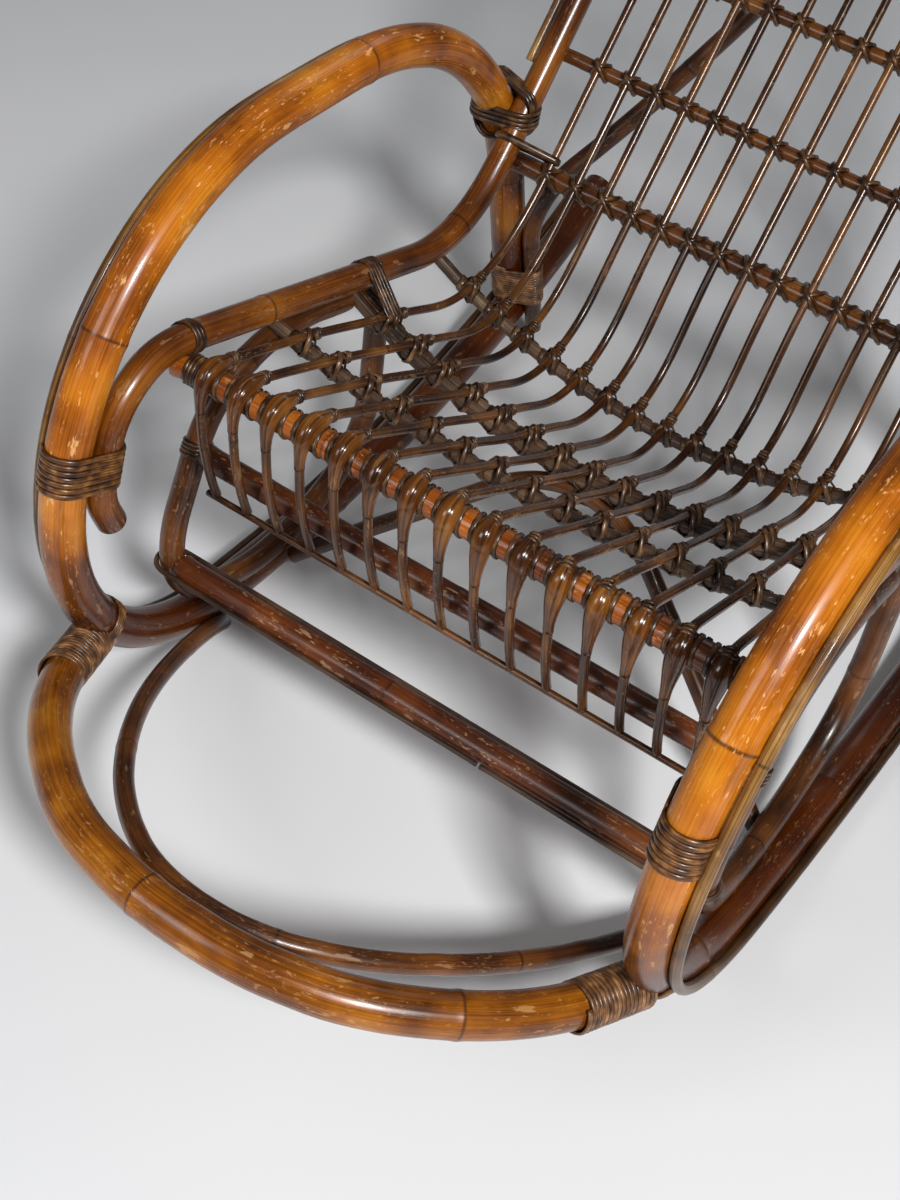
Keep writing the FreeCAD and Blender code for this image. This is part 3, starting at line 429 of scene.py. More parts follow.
# %% The table of poles and their lines
POLES = {
    "side_loop": (38, arm_cane, "arm_cane", 36, 330),
    "frame_pole": (26, frame_cane, "frame_cane", 26, 290),
    "footrest_loop": (36, footrest_cane, "arm_cane", 32, 310),
    "inner_foot_loop": (17, low_cane, "frame_cane", 18, 240),
    "side_brace": (23, low_cane, "frame_cane", 22, 260),
    "upper_front_bar": (22, bar_cane, "frame_cane", 20, 260),
    "lower_front_bar": (24, bar_cane, "frame_cane", 22, 260),
    "rear_arch": (19, low_cane, "frame_cane", 18, 250),
    "under_seat_arch": (17, low_cane, "frame_cane", 16, 240),
    "front_seat_rail": (24, rail_cane, "rail_cane", 24, 260),
    "lumbar_rail": (20, back_cane, "rail_cane", 20, 260),
    "back_rail": (14, back_cane, "rail_cane", 16, 240),
    "top_back_rail": (18, back_cane, "rail_cane", 18, 240),
    "second_seat_rail": (13, split_cane, "rail_cane", 16, 900),
    "fourth_seat_rail": (13, split_cane, "rail_cane", 16, 900),
    "wide_rail": (13, split_cane, "rail_cane", 16, 900),
    "slat_end_rod": (6, slat_cane, "slat_cane", 10, 200),
    "slat": (8, slat_cane, "slat_cane", 12, 270),
    "loop_strip": (10, strip_cane, "split_cane", 14, 330),
    "post_strip": (9, strip_cane, "split_cane", 14, 330),
    "lower_bar_strip": (5, split_cane, "split_cane", 10, 900),
}
# points of a line lie this share of the diameter apart, and at least this many millimetres
STEP_SHARE, LEAST_STEP = 0.3, 4.5


def row_of(node):
    """The table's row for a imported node, by its longest matching name."""
    names = [name for name in POLES if node.startswith(name)]
    return POLES[max(names, key=len)] if names and "lashing" not in node else None


lines = {}
radii = {}
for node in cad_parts:
    if row_of(node):
        diameter = row_of(node)[0]
        radii[node] = diameter / 2 * MM
        lines[node] = centre_line(node, radii[node], max(LEAST_STEP, diameter * STEP_SHARE) * MM)
slats = [node for node in lines if node.startswith("slat_") and node != "slat_end_rod"]
print(len(lines), "lines,", len(slats), "slats")

# %% [markdown]
# ## Where poles meet
# Every tie needs the place where two poles come nearest and the directions of both there. A search tree
# finds the nearest pair of points quickly. Between the points the lines are taken as straight, and the
# shortest link of two straight lines gives the exact place. Poles that run almost side by side have that
# link far away, so there the nearest pair itself is used.

# %% Nearest places and crossings
NEAR = 90 * MM
FARTHEST_SLIP = 15 * MM


def tree_of(line):
    """A search tree of a line's points."""
    tree = kdtree.KDTree(len(line))
    for index, point in enumerate(line):
        tree.insert(point, index)
    tree.balance()
    return tree


def inner(line, index):
    """An index, moved in by one at a line's ends."""
    return min(max(index, 1), len(line) - 2)


def way_at(line, index):
    """A line's direction at one of its inner points."""
    return (line[index + 1] - line[index - 1]).normalized()


def foot_on(line, index, point):
    """The place on a line, close to one of its points, that lies square to another point, and the way."""
    way = way_at(line, index)
    return line[index] + way * (point - line[index]).dot(way), way


def nearest(node, point):
    """The place on a pole's line that is nearest to a point, and the pole's direction there."""
    line = lines[node]
    index = min(range(1, len(line) - 1), key=lambda place: (line[place] - point).length)
    return foot_on(line, index, point)


def distance_along(node, point):
    """How far along a pole a point lies."""
    line = lines[node]
    index = min(range(len(line)), key=lambda place: (line[place] - point).length)
    return along_line(line)[index]


def crossing(first, second, near=None):
    """The nearest places of two poles and their directions, near a point if one is given."""
    tree = tree_of(lines[first])
    spots = [tree.find(point) + (place,) for place, point in enumerate(lines[second])
             if near is None or (point - near).length < NEAR]
    _, one, _, other = min(spots, key=lambda spot: spot[2])
    places = []
    for line, index in ((lines[first], one), (lines[second], other)):
        index = inner(line, index)
        places.append((line[index], way_at(line, index)))
    (start, way), (end, other_way) = places
    met = intersect_line_line(start, start + way, end, end + other_way)
    if not met or (met[0] - start).length > FARTHEST_SLIP:
        met = (start, end)
    return (*met, way, other_way)


on_rail, on_slat, _, _ = crossing("front_seat_rail", "slat_08")
print("slat_08 crosses the front rail", round((on_slat - on_rail).length / MM, 1), "mm from its middle")

# %% [markdown]
# ## Lines that are eased
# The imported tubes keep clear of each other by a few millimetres, and some of their bends are stiffer than
# bent cane. Four kinds of line are therefore eased before the poles are made. The footrest is led on
# straight over its hollowed ends, and each of its bends becomes one even Bezier curve. The strips are
# pressed onto the loops that carry them. The inner foot loop is led on to the rockers' sides. The slats
# lose their small waves behind the front rail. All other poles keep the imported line.

# %% Ease the footrest, the strips and the inner foot loop
FOOT_HOLLOW, FOOT_LEAD, FOOT_BEND = 80 * MM, 2 * MM, 235 * MM
BEND_PULL = 0.37
STRIP_APART = 24 * MM
INNER_LEAD = 30 * MM


def ease_start(line, cut, lead, until):
    """Lead a line on straight over its hollowed start, then bend it evenly up to a distance."""
    reach = along_line(line)
    begin = bisect.bisect(reach, cut)
    end = bisect.bisect(reach, until)
    out = (line[begin] - line[begin + 1]).normalized()
    start = line[begin] + out * (reach[begin] - lead)
    pull = (line[end] - start).length * BEND_PULL
    bend = interpolate_bezier(start, start - out * pull, line[end] - way_at(line, end) * pull, line[end], end)
    return [point.copy() for point in bend] + line[end + 1:]


def press_on(line, pole, apart):
    """Move a line towards a pole's line, to a distance from it."""
    tree = tree_of(pole)
    moved = []
    for point in line:
        foot, _ = foot_on(pole, inner(pole, tree.find(point)[1]), point)
        moved.append(foot + (point - foot).normalized() * apart)
    return moved


def lengthen(line, more):
    """Lead a line on straight at both ends."""
    first = line[0] + (line[0] - line[1]).normalized() * more
    last = line[-1] + (line[-1] - line[-2]).normalized() * more
    return [first] + line + [last]


for end in ("one end", "the other end"):
    # the line is turned round after each end
    lines["footrest_loop"] = ease_start(lines["footrest_loop"], FOOT_HOLLOW, FOOT_LEAD, FOOT_BEND)[::-1]
    print("eased", end, "of the footrest")
for side in ("left", "right"):
    strip = f"loop_strip_{side}"
    lines[strip] = press_on(lines[strip], lines[f"side_loop_{side}"], STRIP_APART)
lines["inner_foot_loop"] = lengthen(lines["inner_foot_loop"], INNER_LEAD)
print("inner foot loop is", round(along_line(lines["inner_foot_loop"])[-1], 3), "m long")

# %% Smooth the slats
SLAT_BEND = 45 * MM
SLAT_PASSES = 40
for slat in slats:
    # every slat runs from its hanging front end to the top of the back
    if lines[slat][0].y > lines[slat][-1].y:
        lines[slat] = lines[slat][::-1]
    line = lines[slat]
    over_rail = distance_along(slat, crossing("front_seat_rail", slat)[1])
    first = bisect.bisect(along_line(line), over_rail + SLAT_BEND)
    lines[slat] = line[:first] + smooth(line[first:], SLAT_PASSES)
print("slat_08 is now", round(along_line(lines["slat_08"])[-1], 3), "m long")

# %% [markdown]
# ## Making a pole
# A pole is a curve with a round bevel. Cane isn't an even tube: it swells a little at each growth ring
# and wavers between them, so every point of the curve gets its own radius. The rings lie at uneven
# distances, picked by a random generator that is seeded with the pole's name, so a rerun gives the same
# cane. Extra points crowd round each ring, to give it a crisp edge. The curve is then made a mesh, its
# UV map is stretched to real metres, and each vertex notes how near it is to a ring, which the material
# reads as a scar, and to a tie, where dark varnish collects. The sawn ends get a small bevel.

# %% Growth rings
FIRST_RING, NEXT_RING = (0.2, 0.9), (0.75, 1.25)


def scar_places(pick, length, spacing):
    """Distances along the pole at which the growth rings lie."""
    places = []
    place = pick.uniform(*FIRST_RING) * spacing
    while place < length:
        places.append(place)
        place += pick.uniform(*NEXT_RING) * spacing
    return places


def nearness(place, spots, width):
    """One at a spot, falling to nothing a few widths away."""
    return max((math.exp(-((place - spot) / width) ** 2) for spot in spots), default=0.0)


sample_rings = scar_places(random.Random("slat"), 1.5, 0.28)
print("growth rings of a 1.5 m slat", [round(place, 2) for place in sample_rings])

# %% A tube with a radius at each point


def tube_mesh(name, points, widths, sides, start=0.0):
    """A mesh tube through points, with a radius at each, and the ring that each vertex belongs to."""
    curve = bpy.data.curves.new(name, "CURVE")
    curve.dimensions = "3D"
    curve.bevel_depth = max(widths)
    curve.bevel_resolution = sides // 2 - 2
    curve.use_fill_caps = True
    spline = curve.splines.new("POLY")
    spline.points.add(len(points) - 1)
    for knot, point, width in zip(spline.points, points, widths):
        knot.co = (*point, 1.0)
        knot.radius = width / max(widths)
    holder = bpy.data.objects.new(name, curve)
    bpy.context.scene.collection.objects.link(holder)
    mesh = bpy.data.meshes.new_from_object(holder)
    bpy.data.objects.remove(holder)
    bpy.data.curves.remove(curve)
    reach = along_line(points)
    uv = mesh.uv_layers[0].data
    rings = [None] * len(mesh.vertices)
    for face in mesh.polygons:
        cap = len(face.vertices) == 3
        face.use_smooth = not cap
        for corner, vertex in zip(face.loop_indices, face.vertices):
            if not cap:
                rings[vertex] = round(uv[corner].uv[0] * (len(points) - 1))
                uv[corner].uv[0] = start + reach[rings[vertex]]
    return mesh, rings


trial_tube, _ = tube_mesh("trial_tube", trial, [4 * MM] * len(trial), 12)
print("a plain tube along slat_08 has", len(trial_tube.polygons), "faces")
bpy.data.meshes.remove(trial_tube)

# %% Make one pole
RING_STEPS = (-7, -3.5, -1.6, -0.5, 0.5, 1.6, 3.5, 7)
CLOSEST = 0.4 * MM
WAVER, WAVES, WAVE_SPREAD = 0.016, 9, 900
SWELL, SWELL_WIDTH = 0.035, 4 * MM
SCAR_WIDTH, STAIN_WIDTH = 1.3 * MM, 8 * MM
LONGEST_SHIFT = 30
WELD = 0.005 * MM


def cane_mesh(name, line, thickness, sides, ring_spacing, ties):
    """A mesh pole along the line, with swollen growth rings, and notes of its scars and stains."""
    pick = random.Random(name)
    reach = along_line(line)
    scars = scar_places(pick, reach[-1], ring_spacing)
    places = [0.0]
    for place in sorted(reach + [scar + step * MM for scar in scars for step in RING_STEPS]):
        if place - places[-1] > CLOSEST and place <= reach[-1]:
            places.append(place)
    widths = []
    for place in places:
        waver = noise.noise(Vector((place * WAVES, thickness * WAVE_SPREAD, len(name)))) * WAVER
        widths.append(thickness * (1 + waver + SWELL * nearness(place, scars, SWELL_WIDTH)))
    points = [point_at(line, reach, place) for place in places]
    mesh, rings = tube_mesh(name, points, widths, sides, pick.uniform(0, LONGEST_SHIFT))
    for note, spots, width in (("scar", scars, SCAR_WIDTH), ("stain", ties, STAIN_WIDTH)):
        values = [0.0 if ring is None else nearness(places[ring], spots, width) for ring in rings]
        mesh.attributes.new(note, "FLOAT", "POINT").data.foreach_set("value", values)
    return mesh


def soften_ends(mesh, amount):
    """Join the sawn ends to the pole and bevel their rims."""
    bm = bmesh.new()
    bm.from_mesh(mesh)
    bmesh.ops.remove_doubles(bm, verts=bm.verts, dist=WELD)
    rims = [edge for edge in bm.edges if sorted(len(face.verts) for face in edge.link_faces) == [3, 4]]
    bmesh.ops.bevel(bm, geom=rims, offset=amount, segments=2, profile=0.5, affect="EDGES", material=-1,
                    clamp_overlap=True)
    bmesh.ops.recalc_face_normals(bm, faces=bm.faces)
    bm.to_mesh(mesh)
    bm.free()


def place_piece(name, mesh, material, slot, *nodes):
    """Put a finished mesh in the scene, on the chair's one body, for the nodes it stands for."""
    mesh.materials.clear()
    mesh.materials.append(material)
    piece = bpy.data.objects.new(name, mesh)
    bpy.context.scene.collection.objects.link(piece)
    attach(piece, "root")
    if nodes:
        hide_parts(*nodes)
    return piece


print("a growth ring swells a pole by", round(SWELL * 100, 1), "percent")

# %% Make all the poles
END_BEVEL, BEVEL_SHARE = 1.5, 0.08
for node, line in lines.items():
    diameter, material, slot, sides, spacing = row_of(node)
    tied = slats if material in (rail_cane, back_cane) else []
    ties = [distance_along(node, crossing(node, slat)[0]) for slat in tied]
    mesh = cane_mesh(node, line, radii[node], sides, spacing * MM, ties)
    soften_ends(mesh, min(END_BEVEL, diameter * BEVEL_SHARE) * MM)
    place_piece(node + "_cane", mesh, material, slot, node)

# %% [markdown]
# ## Winding a ribbon
# A lashing is one ribbon wound round one pole, or round two poles like a belt. The section of the
# ribbon is drawn once, half-round with its flat side down. Spin carries it round the first pole, an
# extrude pulls it straight across, and a second spin carries it round the other pole and back. Spin also
# moves the section forward a little at each step, which makes the turns lie side by side. A small
# uneven push on every vertex keeps the turns from looking machined. Blender seeds that noise by the clock,
# so it is given a seed here, and a rerun gives the same ribbons.

# %% Wind a ribbon round one pole or two
SECTION = ((0.0, -1.0), (0.8, -0.72), (1.0, 0.0), (0.8, 0.72), (0.0, 1.0))
# the shares of one turn's way forward that each spin and each straight pull take
SPUN, PULLED = 0.4, 0.1


def ribbon_section(bm, at, turn, width, thick):
    """The half-round section of a ribbon that lies on a circle, as a closed loop of edges."""
    note = bm.verts.layers.float.new("across")
    swing = Matrix.Rotation(turn, 3, "Z")
    verts = []
    for depth, beside in SECTION:
        verts.append(bm.verts.new(swing @ Vector((at + depth * thick, 0.0, beside * width / 2))))
        verts[-1][note] = beside
    return verts + [bm.edges.new((one, other)) for one, other in zip(verts, verts[1:] + verts[:1])]


def pull(bm, geometry, way):
    """Extrude the section's loop straight along a way."""
    edges = [item for item in geometry if isinstance(item, bmesh.types.BMEdge)]
    made = bmesh.ops.extrude_edge_only(bm, edges=edges)["geom"]
    verts = [item for item in made if isinstance(item, bmesh.types.BMVert)]
    bmesh.ops.translate(bm, verts=verts, vec=way)
    fresh = set(verts)
    return verts + [item for item in made
                    if isinstance(item, bmesh.types.BMEdge) and all(end in fresh for end in item.verts)]


def carry(bm, geometry, centre, angle, forward, steps):
    """Spin the section's loop round a pole."""
    return bmesh.ops.spin(bm, geom=geometry, cent=centre, axis=(0, 0, 1), angle=angle, steps=steps,
                          dvec=(0, 0, forward / steps), use_merge=False, use_duplicate=False)["geom_last"]


def wind(first, second, apart, turns, pitch, width, thick, steps):
    """A bmesh ribbon wound round a pole at the origin and, if apart isn't zero, a second one beside it."""
    bm = bmesh.new()
    lean = math.acos((first - second) / apart) if apart else 0.0
    section = ribbon_section(bm, first, lean, width, thick)
    bmesh.ops.translate(bm, verts=section[:len(SECTION)], vec=(0, 0, -pitch * turns / 2))
    begin = section[len(SECTION):]
    far_steps = max(2, round(steps * (math.pi - lean) / math.pi))
    near_steps = max(2, round(steps * lean / math.pi))
    for _ in range(turns):
        if not apart:
            section = carry(bm, section, (0, 0, 0), 2 * math.pi, pitch, steps)
            continue
        slope = Vector((math.cos(lean), -math.sin(lean), 0))
        section = carry(bm, section, (0, 0, 0), 2 * (math.pi - lean), pitch * SPUN, far_steps)
        across = Vector((apart, 0, pitch * PULLED)) + slope * (second - first)
        section = pull(bm, section, across)
        section = carry(bm, section, (apart, 0, 0), 2 * lean, pitch * SPUN, near_steps)
        across = Vector((-apart, 0, pitch * PULLED)) + Vector((slope.x, -slope.y, 0)) * (first - second)
        section = pull(bm, section, across)
    if pitch:
        ends = [item for item in section if isinstance(item, bmesh.types.BMEdge)]
        bmesh.ops.edgeloop_fill(bm, edges=begin)
        bmesh.ops.edgeloop_fill(bm, edges=ends)
    else:
        bmesh.ops.remove_doubles(bm, verts=bm.verts, dist=2 * WELD)
    return bm


sample = wind(20 * MM, 14 * MM, 34 * MM, 3, 4 * MM, 4 * MM, 2 * MM, 20)
print("three turns round two poles have", len(sample.faces), "faces")
sample.free()

# %% Set a ribbon in its place
SNUG = 0.35 * MM
UNEVEN_WAVES, UNEVEN, UNEVEN_SEED = 160, 0.3 * MM, 1
LASHING_STEPS = 26
noise.seed_set(UNEVEN_SEED)


def settle(bm, across, beside, along, origin, uneven):
    """Move a ribbon to its place, by the three directions of its own frame, and unsettle it a little."""
    turned = Matrix((across, beside, along)).transposed().to_4x4()
    turned.translation = origin
    bmesh.ops.transform(bm, matrix=turned, verts=bm.verts)
    for vert in bm.verts:
        vert.co += noise.noise_vector(vert.co * UNEVEN_WAVES) * uneven
    bmesh.ops.recalc_face_normals(bm, faces=bm.faces)


def gather(bm, target):
    """Add one finished bmesh to another."""
    scratch = bpy.data.meshes.new("scratch")
    bm.to_mesh(scratch)
    bm.free()
    target.from_mesh(scratch)
    bpy.data.meshes.remove(scratch)


def ribbon_piece(name, bm, material, slot, *nodes):
    """Make a gathered bmesh a smooth-shaded piece."""
    mesh = bpy.data.meshes.new(name)
    bm.to_mesh(mesh)
    bm.free()
    mesh.shade_smooth()
    return place_piece(name, mesh, material, slot, *nodes)


def wrap(target, first, second, near, ribbon, steps=LASHING_STEPS):
    """Wind a ribbon round a pole, or round two poles that run side by side, at the place near a point."""
    turns, pitch, width, thick = ribbon
    centre, along = nearest(first, near)
    across = along.orthogonal()
    apart = 0.0
    beside = 0.0
    if second:
        across = nearest(second, centre)[0] - centre
        across -= along * across.dot(along)
        apart = across.length
        beside = radii[second] + SNUG
    across.normalize()
    bm = wind(radii[first] + SNUG, beside, apart, turns, pitch * MM, width * MM, thick * MM, steps)
    settle(bm, across, along.cross(across), along, centre, UNEVEN)
    gather(bm, target)


print("ribbons lie", round(SNUG / MM, 2), "mm off the poles")

# %% [markdown]
# ## The big lashings
# Ribbons bind the curled seat poles to the arms, the rear arch to the rear legs, and the two halves of
# the top of the back, and they cover both ends of the footrest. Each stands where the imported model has
# its wound cane: the middle of that node's box gives the place, and the nearest points of the poles'
# lines give the directions. At the footrest the ribbon goes on right up to the loop, and a strap of a few
# strands holds the joint from the loop's other side.

# %% Lashings along poles
# each ribbon's turns, then in millimetres its way forward in a turn, its width and its thickness
ARM_FRONT = (7, 5.2, 5.5, 2.6)
REAR_LEG = (14, 3.8, 4.1, 2.4)
FOOTREST = (17, 4.3, 4.6, 2.2)
CREST = (11, 3.8, 4.1, 2.2)
# millimetres by which the footrest's ribbon moves up to the loop
FOOT_SHIFT = 24


def box_middle(node):
    """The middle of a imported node's box."""
    low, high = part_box(node)
    return (Vector(low) + Vector(high)) / 2


def lash(node, first, second, ribbon, material, shift=Vector()):
    """Replace one packed lashing with a ribbon round the first pole, or round both."""
    bm = bmesh.new()
    wrap(bm, first, second, box_middle(node) + shift, ribbon)
    ribbon_piece(node + "_ribbon", bm, material, "lashing_cane", node)


for side in ("left", "right"):
    loop = f"side_loop_{side}"
    lash(f"arm_front_lashing_{side}", loop, f"frame_pole_{side}", ARM_FRONT, gold_ribbon)
    lash(f"rear_leg_lashing_{side}", loop, "rear_arch", REAR_LEG, tan_ribbon)
    foot = box_middle(f"footrest_lashing_{side}")
    on_loop, _ = nearest(loop, foot)
    inward = (on_loop - foot).normalized() * FOOT_SHIFT * MM
    lash(f"footrest_lashing_{side}", "footrest_loop", None, FOOTREST, tan_ribbon, inward)
lash("crest_lashing", "frame_pole_left", None, CREST, dark_ribbon)

# %% Straps at the footrest joints
FOOT_STRAP = (4, 3.6, 3.9, 2.4)
# millimetres behind the joint
STRAP_BACK = 34
for side in ("left", "right"):
    loop = f"side_loop_{side}"
    foot = box_middle(f"footrest_lashing_{side}")
    on_loop, way = nearest(loop, foot)
    rearward = way if way.y > 0 else -way
    bm = bmesh.new()
    wrap(bm, loop, None, on_loop + rearward * STRAP_BACK * MM, FOOT_STRAP)
    ribbon_piece(f"footrest_strap_{side}", bm, gold_ribbon, "lashing_cane")
print("straps at the footrest joints")

# %% [markdown]
# ## Ties over a crossing
# Where two poles cross, ribbons go over both on each diagonal and show as an X. In the plane of one
# diagonal a round pole is cut as an ellipse, so the tie is wound on circles and stretched along the
# diagonal. The same tie, in different widths, serves the arm and post, the arches, and all the slats.
# It is repeated many times, so a single one has only a few dozen faces.

# %% Crossings and X ties
# a tie's strands, their width and thickness in millimetres, and the steps of half a turn
ARM_TIE = (4, 4.8, 1.9, 24)
TIE_GAP, TIE_UNEVEN = 0.3 * MM, 0.12 * MM
LEAST_SQUARE = 0.4
LAYER_SHARE, STRAND_SHARE = 0.9, 1.02


def tie_over(target, first, second, tie, near=None):
    """Add ribbons on the two diagonals of one crossing to a bmesh."""
    strands, width, thick, steps = tie
    width, thick = width * MM, thick * MM
    here, there, way, other_way = crossing(first, second, near)
    out = there - here
    apart = out.length
    out.normalize()
    for layer, sign in enumerate((1, -1)):
        diagonal = (way + other_way * sign).normalized()
        normal = out.cross(diagonal).normalized()
        stretch = 1 / max(LEAST_SQUARE, abs(way.dot(normal)))
        gap = TIE_GAP + layer * thick * LAYER_SHARE
        for strand in range(strands):
            shift = normal * ((strand - (strands - 1) / 2) * width * STRAND_SHARE)
            bm = wind(radii[first] + gap, radii[second] + gap, apart, 1, 0.0, width, thick, steps)
            settle(bm, out, normal.cross(out) * stretch, normal, here + shift, TIE_UNEVEN)
            gather(bm, target)


for side in ("left", "right"):
    bm = bmesh.new()
    packed = (f"inner_cross_lashing_{side}", f"outer_cross_lashing_{side}")
    tie_over(bm, f"side_loop_{side}", f"frame_pole_{side}", ARM_TIE, near=box_middle(packed[0]))
    ribbon_piece(f"arm_cross_lashing_{side}", bm, dark_ribbon, "lashing_cane", *packed)
print("arm and post tied on both sides")

# %% [markdown]
# ## Slat ties
# Every slat is tied to every rail. On the back the ties are plain dark crosses. On the seat the ribbon
# also goes round the rail as a broad band on each side of the slat, and round the slat itself as a small
# collar behind the rail. All ties of one rail are gathered in one piece.

# %% Ties, bands and collars
BACK_TIE = (1, 4.6, 1.3, 9)
SEAT_TIE = (1, 5.6, 1.3, 9)
# the turns of a band or collar, then its width and thickness in millimetres
SEAT_BAND, SEAT_COLLAR = (1, 8.0, 1.3), (3, 2.8, 1.5)
BAND_SHIFT, COLLAR_BACK = 7.5 * MM, 5 * MM
BAND_GAP, COLLAR_UNEVEN = 0.2 * MM, 0.1 * MM
TURN_SHARE, COLLAR_STEPS = 1.05, 10


def collar(target, centre, along, ribbon, radius):
    """Add a few turns of ribbon round a slat or a rail."""
    turns, width, thick = ribbon
    width, thick = width * MM, thick * MM
    across = along.orthogonal().normalized()
    bm = wind(radius, 0.0, 0.0, turns, width * TURN_SHARE, width, thick, COLLAR_STEPS)
    settle(bm, across, along.cross(across), along, centre, COLLAR_UNEVEN)
    gather(bm, target)


def slat_ties(rail, tie, material, bound=False):
    """All the ties of one rail as one piece, with bands and collars where they are bound."""
    target = bmesh.new()
    for slat in slats:
        tie_over(target, rail, slat, tie)
        if bound:
            on_rail, on_slat, along, rearward = crossing(rail, slat)
            for shift in (-BAND_SHIFT, BAND_SHIFT):
                collar(target, on_rail + along * shift, along, SEAT_BAND, radii[rail] + BAND_GAP)
            behind, rearward = nearest(slat, on_slat + rearward * (radii[rail] + COLLAR_BACK))
            collar(target, behind, rearward, SEAT_COLLAR, radii[slat] + BAND_GAP)
    piece = ribbon_piece(f"{rail}_slat_ties", target, material, "lashing_cane")
    print(piece.name, len(piece.data.polygons), "faces")


for rail in ("lumbar_rail", "back_rail_1", "back_rail_2", "back_rail_3", "back_rail_4", "top_back_rail"):
    slat_ties(rail, BACK_TIE, dark_ribbon)
for rail in ("second_seat_rail", "fourth_seat_rail", "wide_rail_rear_rod"):
    slat_ties(rail, SEAT_TIE, seat_ribbon, bound=True)
slat_ties("wide_rail_front_rod", SEAT_TIE, seat_ribbon)

# %% [markdown]
# ## Knobs on the front rail
# Over the front rail each slat is sheathed in a broad piece of split cane that swells to a smooth glossy
# knob. The knob is a tube along the slat's own line that grows by a squared cosine to more than twice the
# slat's width, sinks towards the rail as it grows, and runs out again on the hanging end. A ribbon goes
# round the rail on both sides of it, and a collar of three turns closes it behind.

# %% Knobs, bands and collars
KNOB_REAR, KNOB_FRONT, KNOB_STEPS, KNOB_SIDES = 23 * MM, 50 * MM, 16, 16
KNOB_SWELL, KNOB_SINK = 5.0 * MM, 3.0 * MM
KNOB_COLLAR, KNOB_COLLAR_GAP = (3, 3.0, 1.7), 0.4 * MM
# millimetres from the rail's middle to the collar
KNOB_COLLAR_BACK = 21
# each band's shift along the rail, and the band
RAIL_BANDS = ((10.5 * MM, (1, 5.5, 1.6)), (-10.5 * MM, (1, 5.0, 1.6)))
knobs = bmesh.new()
bands = bmesh.new()
for slat in slats:
    on_rail, on_slat, along, rearward = crossing("front_seat_rail", slat)
    line = lines[slat]
    reach = along_line(line)
    middle = distance_along(slat, on_slat)
    points, widths = [], []
    for step in range(KNOB_STEPS + 1):
        offset = -KNOB_REAR + (KNOB_REAR + KNOB_FRONT) * step / KNOB_STEPS
        swell = math.cos(math.pi / 2 * offset / (KNOB_FRONT if offset > 0 else KNOB_REAR)) ** 2
        point = point_at(line, reach, middle - offset)
        inward = (nearest("front_seat_rail", point)[0] - point).normalized()
        points.append(point + inward * KNOB_SINK * swell)
        widths.append(radii[slat] + SNUG + KNOB_SWELL * swell)
    knob_mesh, _ = tube_mesh("knob", points, widths, KNOB_SIDES, reach[-1] * slats.index(slat))
    knobs.from_mesh(knob_mesh)
    bpy.data.meshes.remove(knob_mesh)
    behind, rearward = nearest(slat, on_slat + rearward * KNOB_COLLAR_BACK * MM)
    collar(bands, behind, rearward, KNOB_COLLAR, radii[slat] + KNOB_COLLAR_GAP)
    along = along if along.x > 0 else -along
    for shift, band in RAIL_BANDS:
        collar(bands, on_rail + along * shift, along, band, radii["front_seat_rail"] + BAND_GAP)
bmesh.ops.remove_doubles(knobs, verts=knobs.verts, dist=WELD)
bmesh.ops.recalc_face_normals(knobs, faces=knobs.faces)
ribbon_piece("front_rail_knobs", knobs, knob_cane, "slat_cane")
ribbon_piece("front_rail_bands", bands, seat_ribbon, "lashing_cane")
print("knobs and bands on the front rail for", len(slats), "slats")

# %% [markdown]
# ## Straps of the frame
# The rails butt against the seat and back poles. The wide rail is also held by a strap of five strands
# that goes over the seat pole to the first slat, and the lumbar rail by a single stout strand that goes
# round the post like a hairpin. The front rail's ends and the seat poles beside them, the braces at the
# upper bar and the arches are bound with narrow ribbons.

# %% Frame straps
WIDE_STRAP, WIDE_STEPS = (5, 4.6, 4.9, 1.7), 16
HAIRPIN, HAIRPIN_STEPS = (1, 0.0, 8.0, 3.0), 20
RAIL_STRAP, RAIL_STEPS = (3, 3.6, 3.9, 1.6), 16
POLE_STRAP, POLE_STEPS = (3, 4.2, 4.5, 1.6), 20
BRACE_STRAP, BRACE_STEPS = (4, 3.6, 3.9, 1.8), 18
# millimetres of the hairpin above the lumbar rail, and of the rail's strap from its end
HAIRPIN_UP, RAIL_STRAP_IN = 14, 12
ARCH_TIE = (2, 4.0, 1.4, 14)
for side in ("left", "right"):
    pole = f"frame_pole_{side}"
    brace = f"side_brace_{side}"
    side_way = box_middle(f"side_loop_{side}").x
    slat = max((slats[0], slats[-1]), key=lambda name: lines[name][0].x * side_way)
    bm = bmesh.new()
    on_wide = crossing("wide_rail_front_rod", slat)[1].lerp(crossing("wide_rail_rear_rod", slat)[1], 0.5)
    wrap(bm, pole, slat, on_wide, WIDE_STRAP, WIDE_STEPS)
    on_lumbar = crossing("lumbar_rail", slat)[1]
    up = nearest(slat, on_lumbar)[1]
    wrap(bm, pole, slat, on_lumbar + up * HAIRPIN_UP * MM, HAIRPIN, HAIRPIN_STEPS)
    rail_end = crossing(pole, "front_seat_rail")[1]
    inward = Vector((-1 if rail_end.x > 0 else 1, 0, 0))
    wrap(bm, "front_seat_rail", None, rail_end + inward * RAIL_STRAP_IN * MM, RAIL_STRAP, RAIL_STEPS)
    wrap(bm, pole, None, rail_end, POLE_STRAP, POLE_STEPS)
    wrap(bm, brace, None, crossing(brace, "upper_front_bar")[0], BRACE_STRAP, BRACE_STEPS)
    ribbon_piece(f"frame_straps_{side}", bm, dark_ribbon, "lashing_cane")
arch_ties = bmesh.new()
tie_over(arch_ties, "under_seat_arch", "wide_rail_rear_rod", ARCH_TIE)
tie_over(arch_ties, "rear_arch", "back_rail_3", ARCH_TIE)
ribbon_piece("arch_ties", arch_ties, dark_ribbon, "lashing_cane")
print("frame straps and arch ties made")

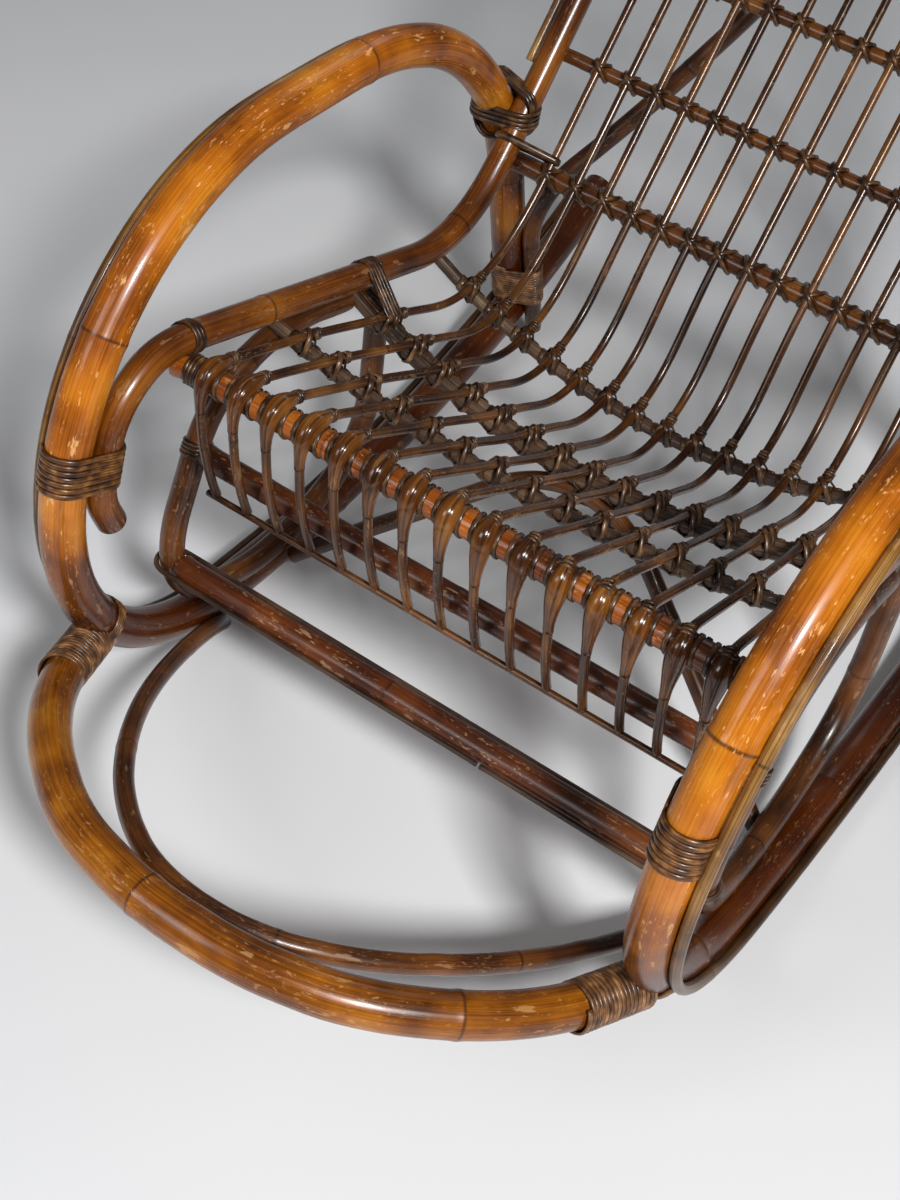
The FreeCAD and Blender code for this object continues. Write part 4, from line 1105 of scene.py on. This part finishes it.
# %% [markdown]
# ## Floor, light and camera
# The chair stands on a plain pale floor. A soft key lamp to the right of the camera gives the long
# lights on the cane and lets the shadows fall back and to the left. It is close enough to leave the floor
# behind the chair greyer than the floor in front. A weak lamp lifts the front, a weaker one lights the
# back of the chair, and a dim pale world fills the rest. The camera looks down on the chair from the
# front, as in the picture.

# %% Floor
FLOOR_PATCH = 600 * MM
floor_mesh = bpy.data.meshes.new("studio_floor")
floor_bm = bmesh.new()
bmesh.ops.create_grid(floor_bm, x_segments=1, y_segments=1, size=12)
floor_bm.to_mesh(floor_mesh)
floor_bm.free()
floor = bpy.data.objects.new("studio_floor", floor_mesh)
bpy.context.scene.collection.objects.link(floor)
# pale matt paint, a little uneven, so that the floor isn't one flat tone
floor_paint, floor_tree = new_material("pale_floor_paint")
floor_place = add(floor_tree, "TexCoord", {}).outputs["Object"]
mottle = add(floor_tree, "TexNoise", {"Vector": floor_place, "Scale": 1 / FLOOR_PATCH, "Detail": 2.0})
greys = [(0.3, "#e6e7e9"), (0.7, "#ececed")]
grey = add(floor_tree, "ValToRGB", {0: mottle.outputs[0]}, stops=greys).outputs[0]
floor_shader = add(floor_tree, "BsdfPrincipled", {"Base Color": grey, "Roughness": 0.55})
add(floor_tree, "OutputMaterial", {"Surface": floor_shader.outputs[0]})
floor_mesh.materials.append(floor_paint)
print("floor", floor.dimensions[:])

# %% Lamps and world


def softbox(name, place, target, width, power):
    """A square area lamp that faces a target."""
    lamp = bpy.data.lights.new(name, "AREA")
    lamp.shape = "SQUARE"
    lamp.size = width
    lamp.energy = power
    holder = bpy.data.objects.new(name, lamp)
    holder.location = place
    holder.rotation_euler = (Vector(target) - Vector(place)).to_track_quat("-Z", "Y").to_euler()
    bpy.context.scene.collection.objects.link(holder)


softbox("key_softbox", place=(1.9, -1.6, 2.7), target=(-0.3, -0.1, 0.2), width=0.55, power=116)
softbox("front_softbox", place=(-0.7, -2.0, 1.7), target=(-0.3, -0.6, 0.0), width=0.8, power=12)
softbox("back_softbox", place=(-0.5, 2.3, 2.0), target=(0, 0.3, 0.4), width=1.0, power=4)
world = bpy.data.worlds.new("studio_world")
world.use_nodes = True
world.node_tree.nodes.clear()
sky = add(world.node_tree, "Background", {"Color": paint("#e2e5e9"), "Strength": 0.13})
add(world.node_tree, "OutputWorld", {"Surface": sky.outputs[0]})
bpy.context.scene.world = world
bpy.context.scene.view_settings.view_transform = "Standard"

# %% Camera
camera_data = bpy.data.cameras.new("studio_camera")
camera_data.sensor_fit = "HORIZONTAL"
camera_data.sensor_width = 36.0
camera_data.lens = 69.2
camera_data.clip_end = 60.0
camera = bpy.data.objects.new("studio_camera", camera_data)
bpy.context.scene.collection.objects.link(camera)
view_right = Vector((0.81376, 0.57697, 0.07003))
view_up = Vector((-0.47029, 0.58289, 0.66262))
view_back = Vector((0.34149, -0.57215, 0.74568))
pose = Matrix((view_right, view_up, view_back)).transposed().to_4x4()
pose.translation = Vector((0.47492, -1.05930, 1.30431))
camera.matrix_world = pose
bpy.context.scene.camera = camera
print("camera at", [round(value, 3) for value in camera.location])
